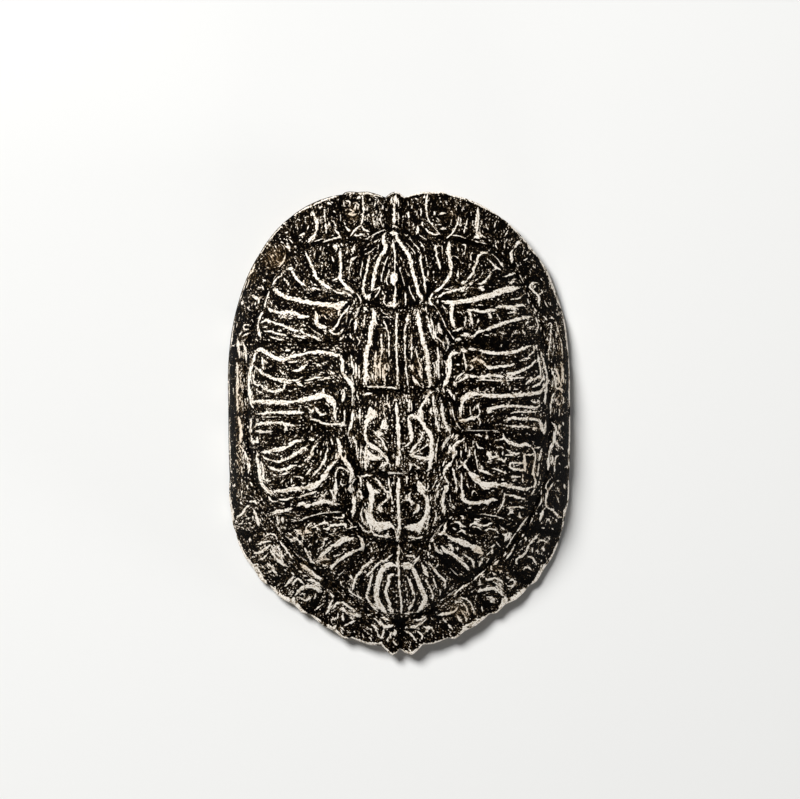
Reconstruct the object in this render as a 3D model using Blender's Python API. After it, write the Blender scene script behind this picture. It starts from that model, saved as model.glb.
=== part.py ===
"""Carapace of a pond slider: the domed top shell of a turtle, one piece, lying rim down.

+Z is up and +Y points to the head end. The origin is on the surface that the shell rests on, under its middle.
Plan positions are shares of the half width (x) and of the half length (y) for the right side. The left side
mirrors them, and the whole front then leans a little to the left.
"""

import math

import bmesh
import bpy
import numpy as np

# Driving dimensions, in metres
LENGTH = 0.270
WIDTH = 0.1985
HEIGHT = 0.082
BONE = 0.0035  # wall thickness, square to the surface
LEAN = -0.0026  # how far the midline of the head end stands to the left

# Rim: its lower edge rises from the ground at the two ends, and is cut flat at the sides
HEAD_RISE = 0.011
TAIL_RISE = 0.006
BRIDGE_FRONT = 0.062  # the flat cut faces of the bridge run from here
BRIDGE_REAR = -0.060  # to here
RISE_RUN = 0.070
EDGE = 0.0042  # height of the rim's edge, rounded over above
EDGE_ROUND = 0.0010
LIP = 0.0080  # width of the rim's underside at head and tail
BRIDGE_LIP = 0.0115  # and at the bridge

# Dome: height falls from the crown as (1 - radius ** FULLNESS) ** steepness
FULLNESS = 2.15
STEEP_SIDE = 0.68
STEEP_HEAD = 1.12
STEEP_TAIL = 1.30

# Relief of the scutes
GROOVE_DEPTH = 0.0012
GROOVE_HALF_WIDTH = 0.0018
PILLOW = 0.0015  # how far the middle of a scute stands above its edge
PILLOW_REACH = 0.009
KEEL_HEIGHT = 0.0013
KEEL_HALF_WIDTH = 0.0040

# Backbone and ribs, fused to the underside
SPINE_DEPTH = 0.0085
SPINE_HALF_WIDTH = 0.0052
SPINE_FRONT = 0.098
SPINE_REAR = -0.092
VERTEBRA_LENGTH = 0.0235
RIB_DEPTH = 0.0014

# Mesh density
SEAM_STEP = 0.0072
RIM_STEPS = 9  # points along the edge of one marginal scute
RING_SHARES = (1.0, 0.62, 0.30)  # rings inside a large scute, from its shoulder to its middle
SMALL_RING_SHARES = (1.0, 0.50)
UNDERSIDE_COLUMNS = 28
UNDERSIDE_ROWS = 36

# Where the seams between the marginal scutes meet the rim, head end first, and the inner ends of those seams
RIM_SEAMS = [
    (0.056, 0.977), (0.309, 0.989), (0.615, 0.891), (0.809, 0.722), (0.941, 0.493), (0.990, 0.298), (1.000, 0.061),
    (0.997, -0.225), (0.962, -0.469), (0.765, -0.696), (0.532, -0.819), (0.288, -0.923), (0.0, -0.969),
]  # fmt: skip
INNER_SEAMS = [
    (0.041, 0.839), (0.291, 0.796), (0.571, 0.757), (0.694, 0.659), (0.821, 0.467), (0.885, 0.264), (0.885, 0.024),
    (0.856, -0.231), (0.732, -0.445), (0.585, -0.573), (0.415, -0.675), (0.203, -0.791), (0.0, -0.856),
]  # fmt: skip

# Other corners of the scutes. A name such as v2_v3 is where those two meet a costal scute
CORNERS = {
    "head": (0.0, 0.977),
    "nuchal_v1": (0.0, 0.839),
    "v1_corner": (0.194, 0.783),
    "v1_v2": (0.179, 0.525),
    "v1_v2_mid": (0.0, 0.486),
    "v2_corner": (0.309, 0.350),
    "v2_v3": (0.232, 0.147),
    "v2_v3_mid": (0.0, 0.134),
    "v3_corner": (0.309, -0.030),
    "v3_v4": (0.232, -0.203),
    "v3_v4_mid": (0.0, -0.216),
    "v4_corner": (0.312, -0.381),
    "v4_v5": (0.174, -0.510),
    "v4_v5_mid": (0.0, -0.504),
    "v5_corner": (0.371, -0.691),
    "c1_c2": (0.863, 0.346),
    "c2_c3": (0.879, -0.052),
    "c3_c4": (0.700, -0.474),
}
CORNERS.update({f"rim{i}": at for i, at in enumerate(RIM_SEAMS)})
CORNERS.update({f"inner{i}": at for i, at in enumerate(INNER_SEAMS)})

# Seams that bow to the left of their direction, in metres
BOWS = {
    ("v1_corner", "v1_v2"): 0.0036,
    ("v1_v2_mid", "v1_v2"): -0.0007,
    ("v4_corner", "c3_c4"): 0.0020,
    ("v2_corner", "c1_c2"): -0.0010,
    ("v3_corner", "c2_c3"): 0.0008,
    ("inner2", "inner3"): -0.0008,
    ("inner10", "inner9"): 0.0008,
}

# Scutes on the midline, as the right half of their outline from the midline round to the midline
MIDLINE_SCUTES = {
    "nuchal": ["head", "rim0", "inner0", "nuchal_v1"],
    "vertebral_1": ["nuchal_v1", "inner0", "v1_corner", "v1_v2", "v1_v2_mid"],
    "vertebral_2": ["v1_v2_mid", "v1_v2", "v2_corner", "v2_v3", "v2_v3_mid"],
    "vertebral_3": ["v2_v3_mid", "v2_v3", "v3_corner", "v3_v4", "v3_v4_mid"],
    "vertebral_4": ["v3_v4_mid", "v3_v4", "v4_corner", "v4_v5", "v4_v5_mid"],
    "vertebral_5": ["v4_v5_mid", "v4_v5", "v5_corner", "inner11", "inner12"],
}
# Scutes of the right side, as closed outlines
SIDE_SCUTES = {
    "costal_1": ["v1_corner", "inner1", "inner2", "inner3", "inner4", "c1_c2", "v2_corner", "v1_v2"],
    "costal_2": ["v2_corner", "c1_c2", "inner5", "inner6", "c2_c3", "v3_corner", "v2_v3"],
    "costal_3": ["v3_corner", "c2_c3", "inner7", "inner8", "c3_c4", "v4_corner", "v3_v4"],
    "costal_4": ["v4_corner", "c3_c4", "inner9", "inner10", "v5_corner", "v4_v5"],
}
# Corners of other scutes that lie on the inner border of a marginal scute
BORDER_CORNERS = {1: "v1_corner", 5: "c1_c2", 7: "c2_c3", 9: "c3_c4", 11: "v5_corner"}
for n in range(1, 13):
    border = [BORDER_CORNERS[n]] if n in BORDER_CORNERS else []
    SIDE_SCUTES[f"marginal_{n}"] = [f"rim{n - 1}", f"rim{n}", f"inner{n}", *border, f"inner{n - 1}"]

# Each marginal scute ends in two lobes with a notch between them. How far the front lobe, the notch and the rear
# lobe stand out of the smooth rim, in millimetres, and where they are along the scute
LOBES = [
    (2.4, 1.4, 1.5), (0.3, 0.3, 0.2), (0.2, 0.2, 0.1), (0.1, 0.1, 0.0), (0.0, 0.0, 0.0), (0.0, 0.0, 0.0),
    (0.0, 0.0, 0.0), (0.8, 0.1, 0.4), (1.4, 0.8, 1.8), (1.5, 0.3, 1.9), (1.4, 0.7, 2.2), (0.5, -0.6, 4.4),
]  # fmt: skip
LOBE_ALONG = (0.0, 0.18, 0.40, 0.64, 0.86, 0.95, 1.0)
NUCHAL_LOBE = 0.0032

RIM_CORNERS = {"head"} | {f"rim{i}" for i in range(13)}
RIM_ANGLES = np.array([math.atan2(x * WIDTH, y * LENGTH) for x, y in RIM_SEAMS])


def smoothstep(t):
    """0 below 0, 1 above 1, and smooth between."""
    t = np.clip(t, 0.0, 1.0)
    return t * t * (3.0 - 2.0 * t)


def rim_radius(angle):
    """Distance from the middle to the smooth rim, at an angle from the head end in radians."""
    angle = np.abs(angle)
    knots = np.concatenate([[0.0], RIM_ANGLES])
    radii = np.array([math.hypot(x * WIDTH, y * LENGTH) / 2 for x, y in [CORNERS["head"], *RIM_SEAMS]])
    slopes = np.gradient(radii, knots)
    slopes[0] = slopes[-1] = 0.0
    i = np.clip(np.searchsorted(knots, angle, side="right") - 1, 0, len(knots) - 2)
    span = knots[i + 1] - knots[i]
    t = (angle - knots[i]) / span
    return (
        radii[i] * (1 + 2 * t) * (1 - t) ** 2
        + radii[i + 1] * t * t * (3 - 2 * t)
        + span * t * (1 - t) * (slopes[i] * (1 - t) - slopes[i + 1] * t)
    )


def lobe(angle):
    """How far the lobes of the marginal scutes stand out of the smooth rim."""
    angle = np.abs(angle)
    angles, heights = [], []
    for i, (front, notch, rear) in enumerate(LOBES):
        span = RIM_ANGLES[i + 1] - RIM_ANGLES[i]
        angles += [RIM_ANGLES[i] + along * span for along in LOBE_ALONG[:-1]]
        heights += [0.0, 0.65 * front, front, notch, rear, 0.6 * rear]
    marginal = np.interp(angle, [*angles, RIM_ANGLES[-1]], [*heights, 0.0]) / 1000
    nuchal = NUCHAL_LOBE * np.cos(np.clip(angle / RIM_ANGLES[0], 0.0, 1.0) * math.pi / 2)
    return np.where(angle < RIM_ANGLES[0], nuchal, marginal)


def rim_bottom(y):
    """Height of the rim's lower edge: zero along the bridge, rising to head and tail."""
    head = HEAD_RISE * smoothstep((y - BRIDGE_FRONT) / RISE_RUN)
    tail = TAIL_RISE * smoothstep((BRIDGE_REAR - y) / RISE_RUN)
    return head + tail


def dome(x, y):
    """Height of the outer surface without its relief."""
    angle = np.arctan2(x, y)
    share = np.clip(np.hypot(x, y) / rim_radius(angle), 0.0, 1.0)
    lengthwise = np.cos(angle) ** 2
    end = np.where(y > 0, STEEP_HEAD, STEEP_TAIL)
    steepness = STEEP_SIDE + (end - STEEP_SIDE) * lengthwise
    rim = rim_radius(angle) * np.cos(angle)
    low = rim_bottom(rim) + EDGE
    return low + (HEIGHT - PILLOW - KEEL_HEIGHT - low) * (1.0 - share**FULLNESS) ** steepness


def keel(x, y):
    """The low ridge along the midline of the vertebral scutes."""
    ends = smoothstep((y / LENGTH + 0.43) / 0.08) * smoothstep((0.40 - y / LENGTH) / 0.10)
    return KEEL_HEIGHT * np.exp(-((x / KEEL_HALF_WIDTH) ** 2)) * ends


def relief(x, y, seam_distance):
    """Groove along each seam, a low pillow inside each scute, and the keel."""
    groove = -GROOVE_DEPTH * (1.0 - np.clip(seam_distance / GROOVE_HALF_WIDTH, 0.0, 1.0))
    pillow = PILLOW * (1.0 - np.exp(-np.clip(seam_distance - GROOVE_HALF_WIDTH, 0.0, None) / PILLOW_REACH))
    return groove + pillow + keel(x, y)


def underside(x, y):
    """Height of the inner surface: the dome less the bone, a steep wall at the rim, the backbone and the ribs."""
    step = 0.0005
    slope_x = (dome(x + step, y) - dome(x - step, y)) / (2 * step)
    slope_y = (dome(x, y + step) - dome(x, y - step)) / (2 * step)
    roof = dome(x, y) - BONE * np.sqrt(1.0 + slope_x**2 + slope_y**2)
    angle = np.arctan2(x, y)
    floor = rim_bottom(rim_radius(angle) * np.cos(angle))
    share = np.clip(np.hypot(x, y) / (rim_radius(angle) - lip(angle)), 0.0, 1.0)
    wall = floor + 1.15 * HEIGHT * (1.0 - share**7.0) ** 0.6
    inside = 1.0 - smoothstep((share - 0.70) / 0.25)
    along = smoothstep((y - SPINE_REAR) / 0.02) * smoothstep((SPINE_FRONT - y) / 0.02)
    bead = 1.0 + 0.12 * np.cos(2 * math.pi * y / VERTEBRA_LENGTH)
    spine = SPINE_DEPTH * np.exp(-((x / SPINE_HALF_WIDTH) ** 2)) * along * bead
    rib = RIB_DEPTH * (0.5 + 0.5 * np.cos(2 * math.pi * y / VERTEBRA_LENGTH)) * inside * along
    return np.minimum(roof, wall) - spine - rib


def lip(angle):
    """Width of the rim's underside: wide where the bridge was cut, narrow elsewhere."""
    y = rim_radius(angle) * np.cos(angle)
    bridge = smoothstep((BRIDGE_FRONT + 0.012 - y) / 0.02) * smoothstep((y - BRIDGE_REAR + 0.012) / 0.02)
    return LIP + (BRIDGE_LIP - LIP) * bridge


def rim_point(angle, inset):
    """Plan position on the lobed rim, or a little inside it."""
    radius = rim_radius(angle) + lobe(angle) - inset
    return np.array([radius * math.sin(angle), radius * math.cos(angle)])


def plan(name):
    """Plan position of a corner. Those on the rim stand back from it by the rounding of its edge."""
    x, y = CORNERS[name]
    if name in RIM_CORNERS:
        return rim_point(math.atan2(x * WIDTH, y * LENGTH), EDGE_ROUND)
    return np.array([x * WIDTH / 2, y * LENGTH / 2])


def path(start, end):
    """Points from one corner up to, but not including, the next: along the rim, or along a seam."""
    if {start, end} <= RIM_CORNERS:
        first, last = (math.atan2(*plan(name)) for name in (start, end))
        return [rim_point(first + (last - first) * i / RIM_STEPS, EDGE_ROUND) for i in range(RIM_STEPS)]
    a, b = plan(start), plan(end)
    run = b - a
    length = math.hypot(*run)
    bow = BOWS.get((start, end), -BOWS.get((end, start), 0.0))
    side = np.array([-run[1], run[0]]) / length
    steps = max(2, round(length / SEAM_STEP))
    shares = [i / steps for i in range(steps)]
    return [a + run * t + side * bow * 4 * t * (1 - t) for t in shares]


def outline(corners, closed):
    """Plan outline through the corners."""
    pairs = list(zip(corners, corners[1:] + corners[:1] * closed))
    points = [point for start, end in pairs for point in path(start, end)]
    return points if closed else [*points, plan(corners[-1])]


def mirrored(points):
    """The same outline on the other side of the midline, in the same turning sense."""
    return [np.array([-x, y]) for x, y in reversed(points)]


def scute_outlines():
    """Closed plan outlines of every scute: {name: points}."""
    outlines = {}
    for name, corners in MIDLINE_SCUTES.items():
        half = outline(corners, closed=False)
        outlines[name] = half + mirrored(half)[1:-1]
    for name, corners in SIDE_SCUTES.items():
        right = outline(corners, closed=True)
        outlines[f"{name}_right"] = right
        outlines[f"{name}_left"] = mirrored(right)
    return outlines


def seam_segments():
    """Ends of every straight piece of seam, both sides, as two arrays."""
    starts, ends = [], []
    for corners, closed in [(c, False) for c in MIDLINE_SCUTES.values()] + [(c, True) for c in SIDE_SCUTES.values()]:
        for start, end in zip(corners, corners[1:] + corners[:1] * closed):
            if {start, end} <= RIM_CORNERS:
                continue
            points = [*path(start, end), plan(end)]
            for sign in (1, -1):
                flip = np.array([sign, 1])
                starts += [p * flip for p in points[:-1]]
                ends += [p * flip for p in points[1:]]
    return np.array(starts), np.array(ends)


def distance_to_seams(points):
    """Plan distance from each point to the nearest seam."""
    starts, ends = seam_segments()
    runs = ends - starts
    offsets = points[:, None, :] - starts[None]
    shares = np.clip((offsets * runs).sum(2) / (runs**2).sum(1), 0.0, 1.0)
    return np.linalg.norm(offsets - shares[..., None] * runs, axis=2).min(1)


def add_scute(mesh, points):
    """Faces of one scute, flat in plan: rings from its seam in to its middle."""
    middle = sum(points) / len(points)
    small = max(math.dist(point, middle) for point in points) < 0.022
    shoulder = [1.0 - GROOVE_HALF_WIDTH / max(math.dist(point, middle), 2.5 * GROOVE_HALF_WIDTH) for point in points]
    rings = [[mesh.verts.new((*point, 0.0)) for point in points]]
    for share in SMALL_RING_SHARES if small else RING_SHARES:
        ring_points = [middle + (point - middle) * s * share for point, s in zip(points, shoulder)]
        rings.append([mesh.verts.new((*point, 0.0)) for point in ring_points])
    count = len(points)
    for outer, inner in zip(rings, rings[1:]):
        for i in range(count):
            j = (i + 1) % count
            mesh.faces.new((outer[j], outer[i], inner[i], inner[j]))
    centre = mesh.verts.new((*middle, 0.0))
    for i in range(count):
        mesh.faces.new((rings[-1][(i + 1) % count], rings[-1][i], centre))


def add_outer_surface(mesh):
    """The dome with its scutes. Returns the edges of its rim."""
    for points in scute_outlines().values():
        add_scute(mesh, points)
    bmesh.ops.remove_doubles(mesh, verts=mesh.verts, dist=1e-5)
    plan_points = np.array([vert.co[:2] for vert in mesh.verts])
    x, y = plan_points.T
    heights = dome(x, y) + relief(x, y, distance_to_seams(plan_points))
    for vert, height in zip(mesh.verts, heights):
        vert.co.z = height
    return [edge for edge in mesh.edges if edge.is_boundary]


def add_rim_edge(mesh, top_edges):
    """The edge of the rim: rounded out to its widest line, then down to its lower edge. Returns its lowest edges."""
    edges = top_edges
    for inset, share in ((0.0, 0.62), (0.0007, 0.0)):
        made = bmesh.ops.extrude_edge_only(mesh, edges=edges)["geom"]
        edges = [item for item in made if isinstance(item, bmesh.types.BMEdge) and item.is_boundary]
        for vert in {vert for edge in edges for vert in edge.verts}:
            angle = math.atan2(vert.co.x, vert.co.y)
            vert.co.xy = rim_point(angle, inset)
            vert.co.z = float(rim_bottom(rim_radius(angle) * math.cos(angle))) + share * EDGE
    return edges


def underside_point(column, row):
    """Plan position on the underside of a cell corner of its grid, which is bent to the rim's oval."""
    across = 2.0 * column / UNDERSIDE_COLUMNS - 1.0
    along = 2.0 * row / UNDERSIDE_ROWS - 1.0
    across = math.copysign(abs(across) ** 1.2, across)
    x = across * math.sqrt(1.0 - along**2 / 2.0)
    y = along * math.sqrt(1.0 - across**2 / 2.0)
    angle = math.atan2(x * WIDTH, y * LENGTH)
    reach = math.hypot(x, y) * (rim_radius(angle) - lip(angle))
    return reach * math.sin(angle), reach * math.cos(angle)


def add_underside(mesh):
    """The hollow of the shell. Returns the edges around its mouth."""
    corners = [
        [underside_point(column, row) for row in range(UNDERSIDE_ROWS + 1)] for column in range(UNDERSIDE_COLUMNS + 1)
    ]
    x, y = np.moveaxis(np.array(corners), 2, 0)
    heights = underside(x, y)
    verts = [
        [mesh.verts.new((*corners[i][j], heights[i, j])) for j in range(UNDERSIDE_ROWS + 1)]
        for i in range(UNDERSIDE_COLUMNS + 1)
    ]
    faces = [
        mesh.faces.new((verts[i][j], verts[i][j + 1], verts[i + 1][j + 1], verts[i + 1][j]))
        for i in range(UNDERSIDE_COLUMNS)
        for j in range(UNDERSIDE_ROWS)
    ]
    return [edge for edge in {edge for face in faces for edge in face.edges} if edge.is_boundary]


def lean(y):
    """How far the midline stands to the left at this place along the shell."""
    return LEAN * smoothstep((y / LENGTH + 0.20) / 0.70)


def put_middle_at_origin(mesh):
    """Move the shell in plan until its middle, front to back and side to side, is at the origin."""
    spots = np.array([vert.co[:2] for vert in mesh.verts])
    middle = (spots.min(0) + spots.max(0)) / 2
    bmesh.ops.translate(mesh, verts=mesh.verts, vec=(-middle[0], -middle[1], 0.0))


def make_material():
    material = bpy.data.materials.new("horn over bone")
    material.use_nodes = True
    shader = material.node_tree.nodes["Principled BSDF"]
    shader.inputs["Base Color"].default_value = (0.055, 0.040, 0.026, 1.0)
    shader.inputs["Roughness"].default_value = 0.50
    shader.inputs["Metallic"].default_value = 0.0
    return material


def make_carapace():
    mesh = bmesh.new()
    top_edges = add_outer_surface(mesh)
    low_edges = add_rim_edge(mesh, top_edges)
    mouth_edges = add_underside(mesh)
    bmesh.ops.bridge_loops(mesh, edges=low_edges + mouth_edges)
    for vert in mesh.verts:
        vert.co.x += float(lean(vert.co.y))
    put_middle_at_origin(mesh)
    bmesh.ops.triangulate(mesh, faces=mesh.faces)
    bmesh.ops.recalc_face_normals(mesh, faces=mesh.faces)
    data = bpy.data.meshes.new("carapace")
    mesh.to_mesh(data)
    mesh.free()
    carapace = bpy.data.objects.new("carapace", data)
    bpy.context.scene.collection.objects.link(carapace)
    data.materials.append(make_material())
    data.shade_smooth()
    data.set_sharp_from_angle(angle=math.radians(40))
    return carapace


for old in list(bpy.data.objects):
    bpy.data.objects.remove(old)
make_carapace()
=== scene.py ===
# Looks of a pond slider's carapace: dark horny scutes with pale growth streaks, and bare bone inside.
# Metres, +Z up, +Y to the head end. Lists of streaks and patches are in millimetres.

import math

import bpy
import numpy as np
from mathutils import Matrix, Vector


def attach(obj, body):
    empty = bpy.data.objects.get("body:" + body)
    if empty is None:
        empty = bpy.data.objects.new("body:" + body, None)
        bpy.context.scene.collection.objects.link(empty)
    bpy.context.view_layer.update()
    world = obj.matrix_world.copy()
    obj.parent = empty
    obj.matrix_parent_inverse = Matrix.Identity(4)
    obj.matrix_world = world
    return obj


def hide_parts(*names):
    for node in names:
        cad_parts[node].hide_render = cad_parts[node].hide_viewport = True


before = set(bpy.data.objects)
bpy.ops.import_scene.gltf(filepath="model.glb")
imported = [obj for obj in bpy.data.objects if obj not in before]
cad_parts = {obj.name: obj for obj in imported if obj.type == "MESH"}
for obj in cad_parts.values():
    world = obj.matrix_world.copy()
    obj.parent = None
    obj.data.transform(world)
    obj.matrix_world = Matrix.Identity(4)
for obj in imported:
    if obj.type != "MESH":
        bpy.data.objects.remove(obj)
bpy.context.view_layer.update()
millimetre = 0.001

shell = {  # driving sizes of the carapace
    "length": 0.270,
    "width": 0.1985,
    "height": 0.082,
    "bone": 0.0035,
    "lean": -0.0026,  # the midline of the head end stands this far to the left
    "leanFrom": -0.20,  # where the lean starts and over what run it grows, as shares of the length
    "leanRun": 0.70,
    "headRise": 0.011,  # how far the rim's lower edge rises at head and tail
    "tailRise": 0.006,
    "bridgeFront": 0.062,  # the flat cut faces of the bridge run from here
    "bridgeRear": -0.060,
    "riseRun": 0.070,
    "edge": 0.0042,  # height of the rounded edge
    "edgeRound": 0.0010,  # its upper rounding: reach inwards, share of the edge's height, rings in degrees
    "edgeRoundShare": 0.38,
    "edgeRoundTurns": (25, 50, 75),
    "edgeFoot": [(0.0, 0.62), (0.0001, 0.35), (0.0004, 0.10), (0.0010, 0.0)],  # inset, share of its height
    "lip": 0.0080,  # width of the rim's underside at head and tail
    "bridgeLip": 0.0115,
    "bridgeLipMargin": 0.012,  # how far the wider underside runs past the flat faces, and its fade
    "bridgeLipFade": 0.02,
    "fullness": 2.15,  # powers of the dome's curve: outwards, and of its fall at the side, head and tail
    "steepSide": 0.68,
    "steepHead": 1.12,
    "steepTail": 1.30,
    "grooveDepth": 0.0012,  # of the seams between the scutes
    "grooveHalfWidth": 0.0018,
    "pillow": 0.0015,  # how far a scute bulges and how far from its seams
    "pillowReach": 0.009,
    "keelHeight": 0.0013,
    "keelHalfWidth": 0.0040,
    "keelRear": -0.43,  # where the keel ends and over what run it fades, as shares of the length
    "keelRearFade": 0.08,
    "keelFront": 0.40,
    "keelFrontFade": 0.10,
    "streakRise": 0.00022,  # pale streaks stand a little proud
    "streakSlope": 0.7,  # width of a streak's flank, in millimetres
    "smoothEdge": 1.5,  # no streak stands proud this close to the rim, in millimetres
    "columns": 248,  # cells of the outer face, across and along
    "rows": 326,
}

# Seams between marginal scutes: where they meet the rim, head end first, and their inner ends, as shares of
# the half width and half length of the right side
rimSeams = [
    (0.056, 0.977), (0.309, 0.989), (0.615, 0.891), (0.809, 0.722), (0.941, 0.493), (0.990, 0.298),
    (1.000, 0.061), (0.997, -0.225), (0.962, -0.469), (0.765, -0.696), (0.532, -0.819), (0.288, -0.923),
    (0.0, -0.969),
]  # fmt: skip
innerSeams = [
    (0.041, 0.839), (0.291, 0.796), (0.571, 0.757), (0.694, 0.659), (0.821, 0.467), (0.885, 0.264),
    (0.885, 0.024), (0.856, -0.231), (0.732, -0.445), (0.585, -0.573), (0.415, -0.675), (0.203, -0.791),
    (0.0, -0.856),
]  # fmt: skip
corners = {  # where the other seams meet, in the same shares
    "head": (0.0, 0.977), "nuchalV1": (0.0, 0.839), "v1Corner": (0.194, 0.783), "v1v2": (0.179, 0.525),
    "v1v2Mid": (0.0, 0.486), "v2Corner": (0.309, 0.350), "v2v3": (0.232, 0.147), "v2v3Mid": (0.0, 0.134),
    "v3Corner": (0.309, -0.030), "v3v4": (0.232, -0.203), "v3v4Mid": (0.0, -0.216),
    "v4Corner": (0.312, -0.381), "v4v5": (0.174, -0.510), "v4v5Mid": (0.0, -0.504),
    "v5Corner": (0.371, -0.691), "c1c2": (0.863, 0.346), "c2c3": (0.879, -0.052), "c3c4": (0.700, -0.474),
}  # fmt: skip
corners.update({f"rim{i}": at for i, at in enumerate(rimSeams)})
corners.update({f"inner{i}": at for i, at in enumerate(innerSeams)})
rimCorners = {"head"} | {f"rim{i}" for i in range(len(rimSeams))}
bowSteps = 8
bows = {  # seams that bow to the left of their direction, in metres
    ("v1Corner", "v1v2"): 0.0036, ("v1v2Mid", "v1v2"): -0.0007, ("v4Corner", "c3c4"): 0.0020,
    ("v2Corner", "c1c2"): -0.0010, ("v3Corner", "c2c3"): 0.0008, ("inner2", "inner3"): -0.0008,
    ("inner10", "inner9"): 0.0008,
}  # fmt: skip
midlineScutes = {  # right half of each outline
    "nuchal": ["head", "rim0", "inner0", "nuchalV1"],
    "vertebral1": ["nuchalV1", "inner0", "v1Corner", "v1v2", "v1v2Mid"],
    "vertebral2": ["v1v2Mid", "v1v2", "v2Corner", "v2v3", "v2v3Mid"],
    "vertebral3": ["v2v3Mid", "v2v3", "v3Corner", "v3v4", "v3v4Mid"],
    "vertebral4": ["v3v4Mid", "v3v4", "v4Corner", "v4v5", "v4v5Mid"],
    "vertebral5": ["v4v5Mid", "v4v5", "v5Corner", "inner11", "inner12"],
}
sideScutes = {
    "costal1": ["v1Corner", "inner1", "inner2", "inner3", "inner4", "c1c2", "v2Corner", "v1v2"],
    "costal2": ["v2Corner", "c1c2", "inner5", "inner6", "c2c3", "v3Corner", "v2v3"],
    "costal3": ["v3Corner", "c2c3", "inner7", "inner8", "c3c4", "v4Corner", "v3v4"],
    "costal4": ["v4Corner", "c3c4", "inner9", "inner10", "v5Corner", "v4v5"],
}
# Corners of the inner scutes that lie on a marginal scute's inner border
borderCorners = {1: "v1Corner", 5: "c1c2", 7: "c2c3", 9: "c3c4", 11: "v5Corner"}
for n in range(1, len(rimSeams)):
    border = [borderCorners[n]] if n in borderCorners else []
    sideScutes[f"marginal{n}"] = [f"rim{n - 1}", f"rim{n}", f"inner{n}", *border, f"inner{n - 1}"]

# Front lobe, notch and rear lobe of each marginal scute, in millimetres out of the smooth rim
lobes = [
    (2.4, 1.4, 1.5), (0.3, 0.3, 0.2), (0.2, 0.2, 0.1), (0.1, 0.1, 0.0), (0.0, 0.0, 0.0), (0.0, 0.0, 0.0),
    (0.0, 0.0, 0.0), (0.8, 0.1, 0.4), (1.4, 0.8, 1.8), (1.5, 0.3, 1.9), (1.4, 0.7, 2.2), (0.5, -0.6, 4.4),
]  # fmt: skip
lobeAlong = (0.0, 0.18, 0.40, 0.64, 0.86, 0.95)  # where a marginal scute's lobes have their points
lobeFlanks = (0.65, 0.6)  # height at the first lobe's start and the second one's end, as shares of theirs
tailShift = 0.115  # the right lobe at the tail stands further from the midline
tailBend = 1.5  # power that moves the shift's peak towards the tail
bands = {  # width of the pale edge, in millimetres
    "seam": 0.2,
    "nuchal": 0.9,
    "start": 0.8,  # width between a seam and the band's full width, as a share of it
    "end": 0.7,
    "shoulder": 0.2,  # how much wider the band is on each side of the notch
    "Left": [  # before each marginal scute's notch, at it and after it
        (1.7, 1.7, 1.3), (1.6, 1.6, 1.2), (1.3, 1.2, 1.1), (1.1, 1.0, 0.9), (1.0, 2.0, 1.0), (1.0, 1.1, 1.0),
        (1.0, 1.1, 1.1), (1.1, 2.2, 1.3), (1.4, 4.6, 2.8), (2.6, 4.8, 2.4), (2.0, 3.8, 1.6), (1.4, 2.6, 1.4),
    ],
    "Right": [
        (1.4, 1.3, 1.2), (1.1, 1.2, 1.0), (1.0, 1.1, 1.3), (1.6, 1.5, 1.3), (1.1, 1.0, 0.9), (0.8, 1.0, 0.9),
        (0.9, 1.6, 1.0), (1.1, 2.3, 1.2), (1.2, 3.4, 2.1), (2.8, 4.6, 2.3), (1.9, 4.0, 1.5), (1.0, 1.0, 1.7),
    ],
}
bandAlong = (0.0, 0.15, 0.45, 0.59, 0.635, 0.68, 0.80, 0.92, 0.98)  # where the band has its points
nuchalLobe = 0.0032  # how far the nuchal scute stands out of the smooth rim
rimAngles = np.array([math.atan2(x * shell["width"], y * shell["length"]) for x, y in rimSeams])
rimSteps = 2880  # places round the rim that its middle is measured from
outlinePush = 1.15  # outlines run out past the rim by this factor, and seams by the smaller one
seamPush = 1.03
rightSwell = {  # the right rim stands out further: place along and how far, in millimetres
    "along": (-100, -85, -75, -65, -55, -45, -30, 0, 20, 40, 60, 78, 90, 105, 125),
    "out": (0, -0.8, -1.3, -1.2, -1.4, -0.5, 0, 0.8, 1.1, 1.6, 3.0, 3.0, 3.4, 1.7, 0),
    "from": 0.86,  # where it starts and over what run it grows, as shares of the way out
    "run": 0.13,
}


def smoothStep(t):
    t = np.clip(t, 0.0, 1.0)
    return t * t * (3.0 - 2.0 * t)


def rimRadius(angle):  # distance from the middle to the smooth rim, by angle from the head end
    angle = np.abs(angle)
    knots = np.concatenate([[0.0], rimAngles])
    ends = [corners["head"], *rimSeams]
    radii = np.array([math.hypot(x * shell["width"], y * shell["length"]) / 2 for x, y in ends])
    slopes = np.gradient(radii, knots)
    slopes[0] = slopes[-1] = 0.0
    i = np.clip(np.searchsorted(knots, angle, side="right") - 1, 0, len(knots) - 2)
    span = knots[i + 1] - knots[i]
    t = (angle - knots[i]) / span
    return (
        radii[i] * (1 + 2 * t) * (1 - t) ** 2
        + radii[i + 1] * t * t * (3 - 2 * t)
        + span * t * (1 - t) * (slopes[i] * (1 - t) - slopes[i + 1] * t)
    )


def alongRim(angle, shares, rows):  # reads a row of values at these shares along each marginal scute
    spans = np.diff(rimAngles)
    places = [start + share * span for start, span in zip(rimAngles, spans) for share in shares]
    return np.interp(np.abs(angle), [*places, rimAngles[-1]], [*np.ravel(rows), 0.0])


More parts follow.
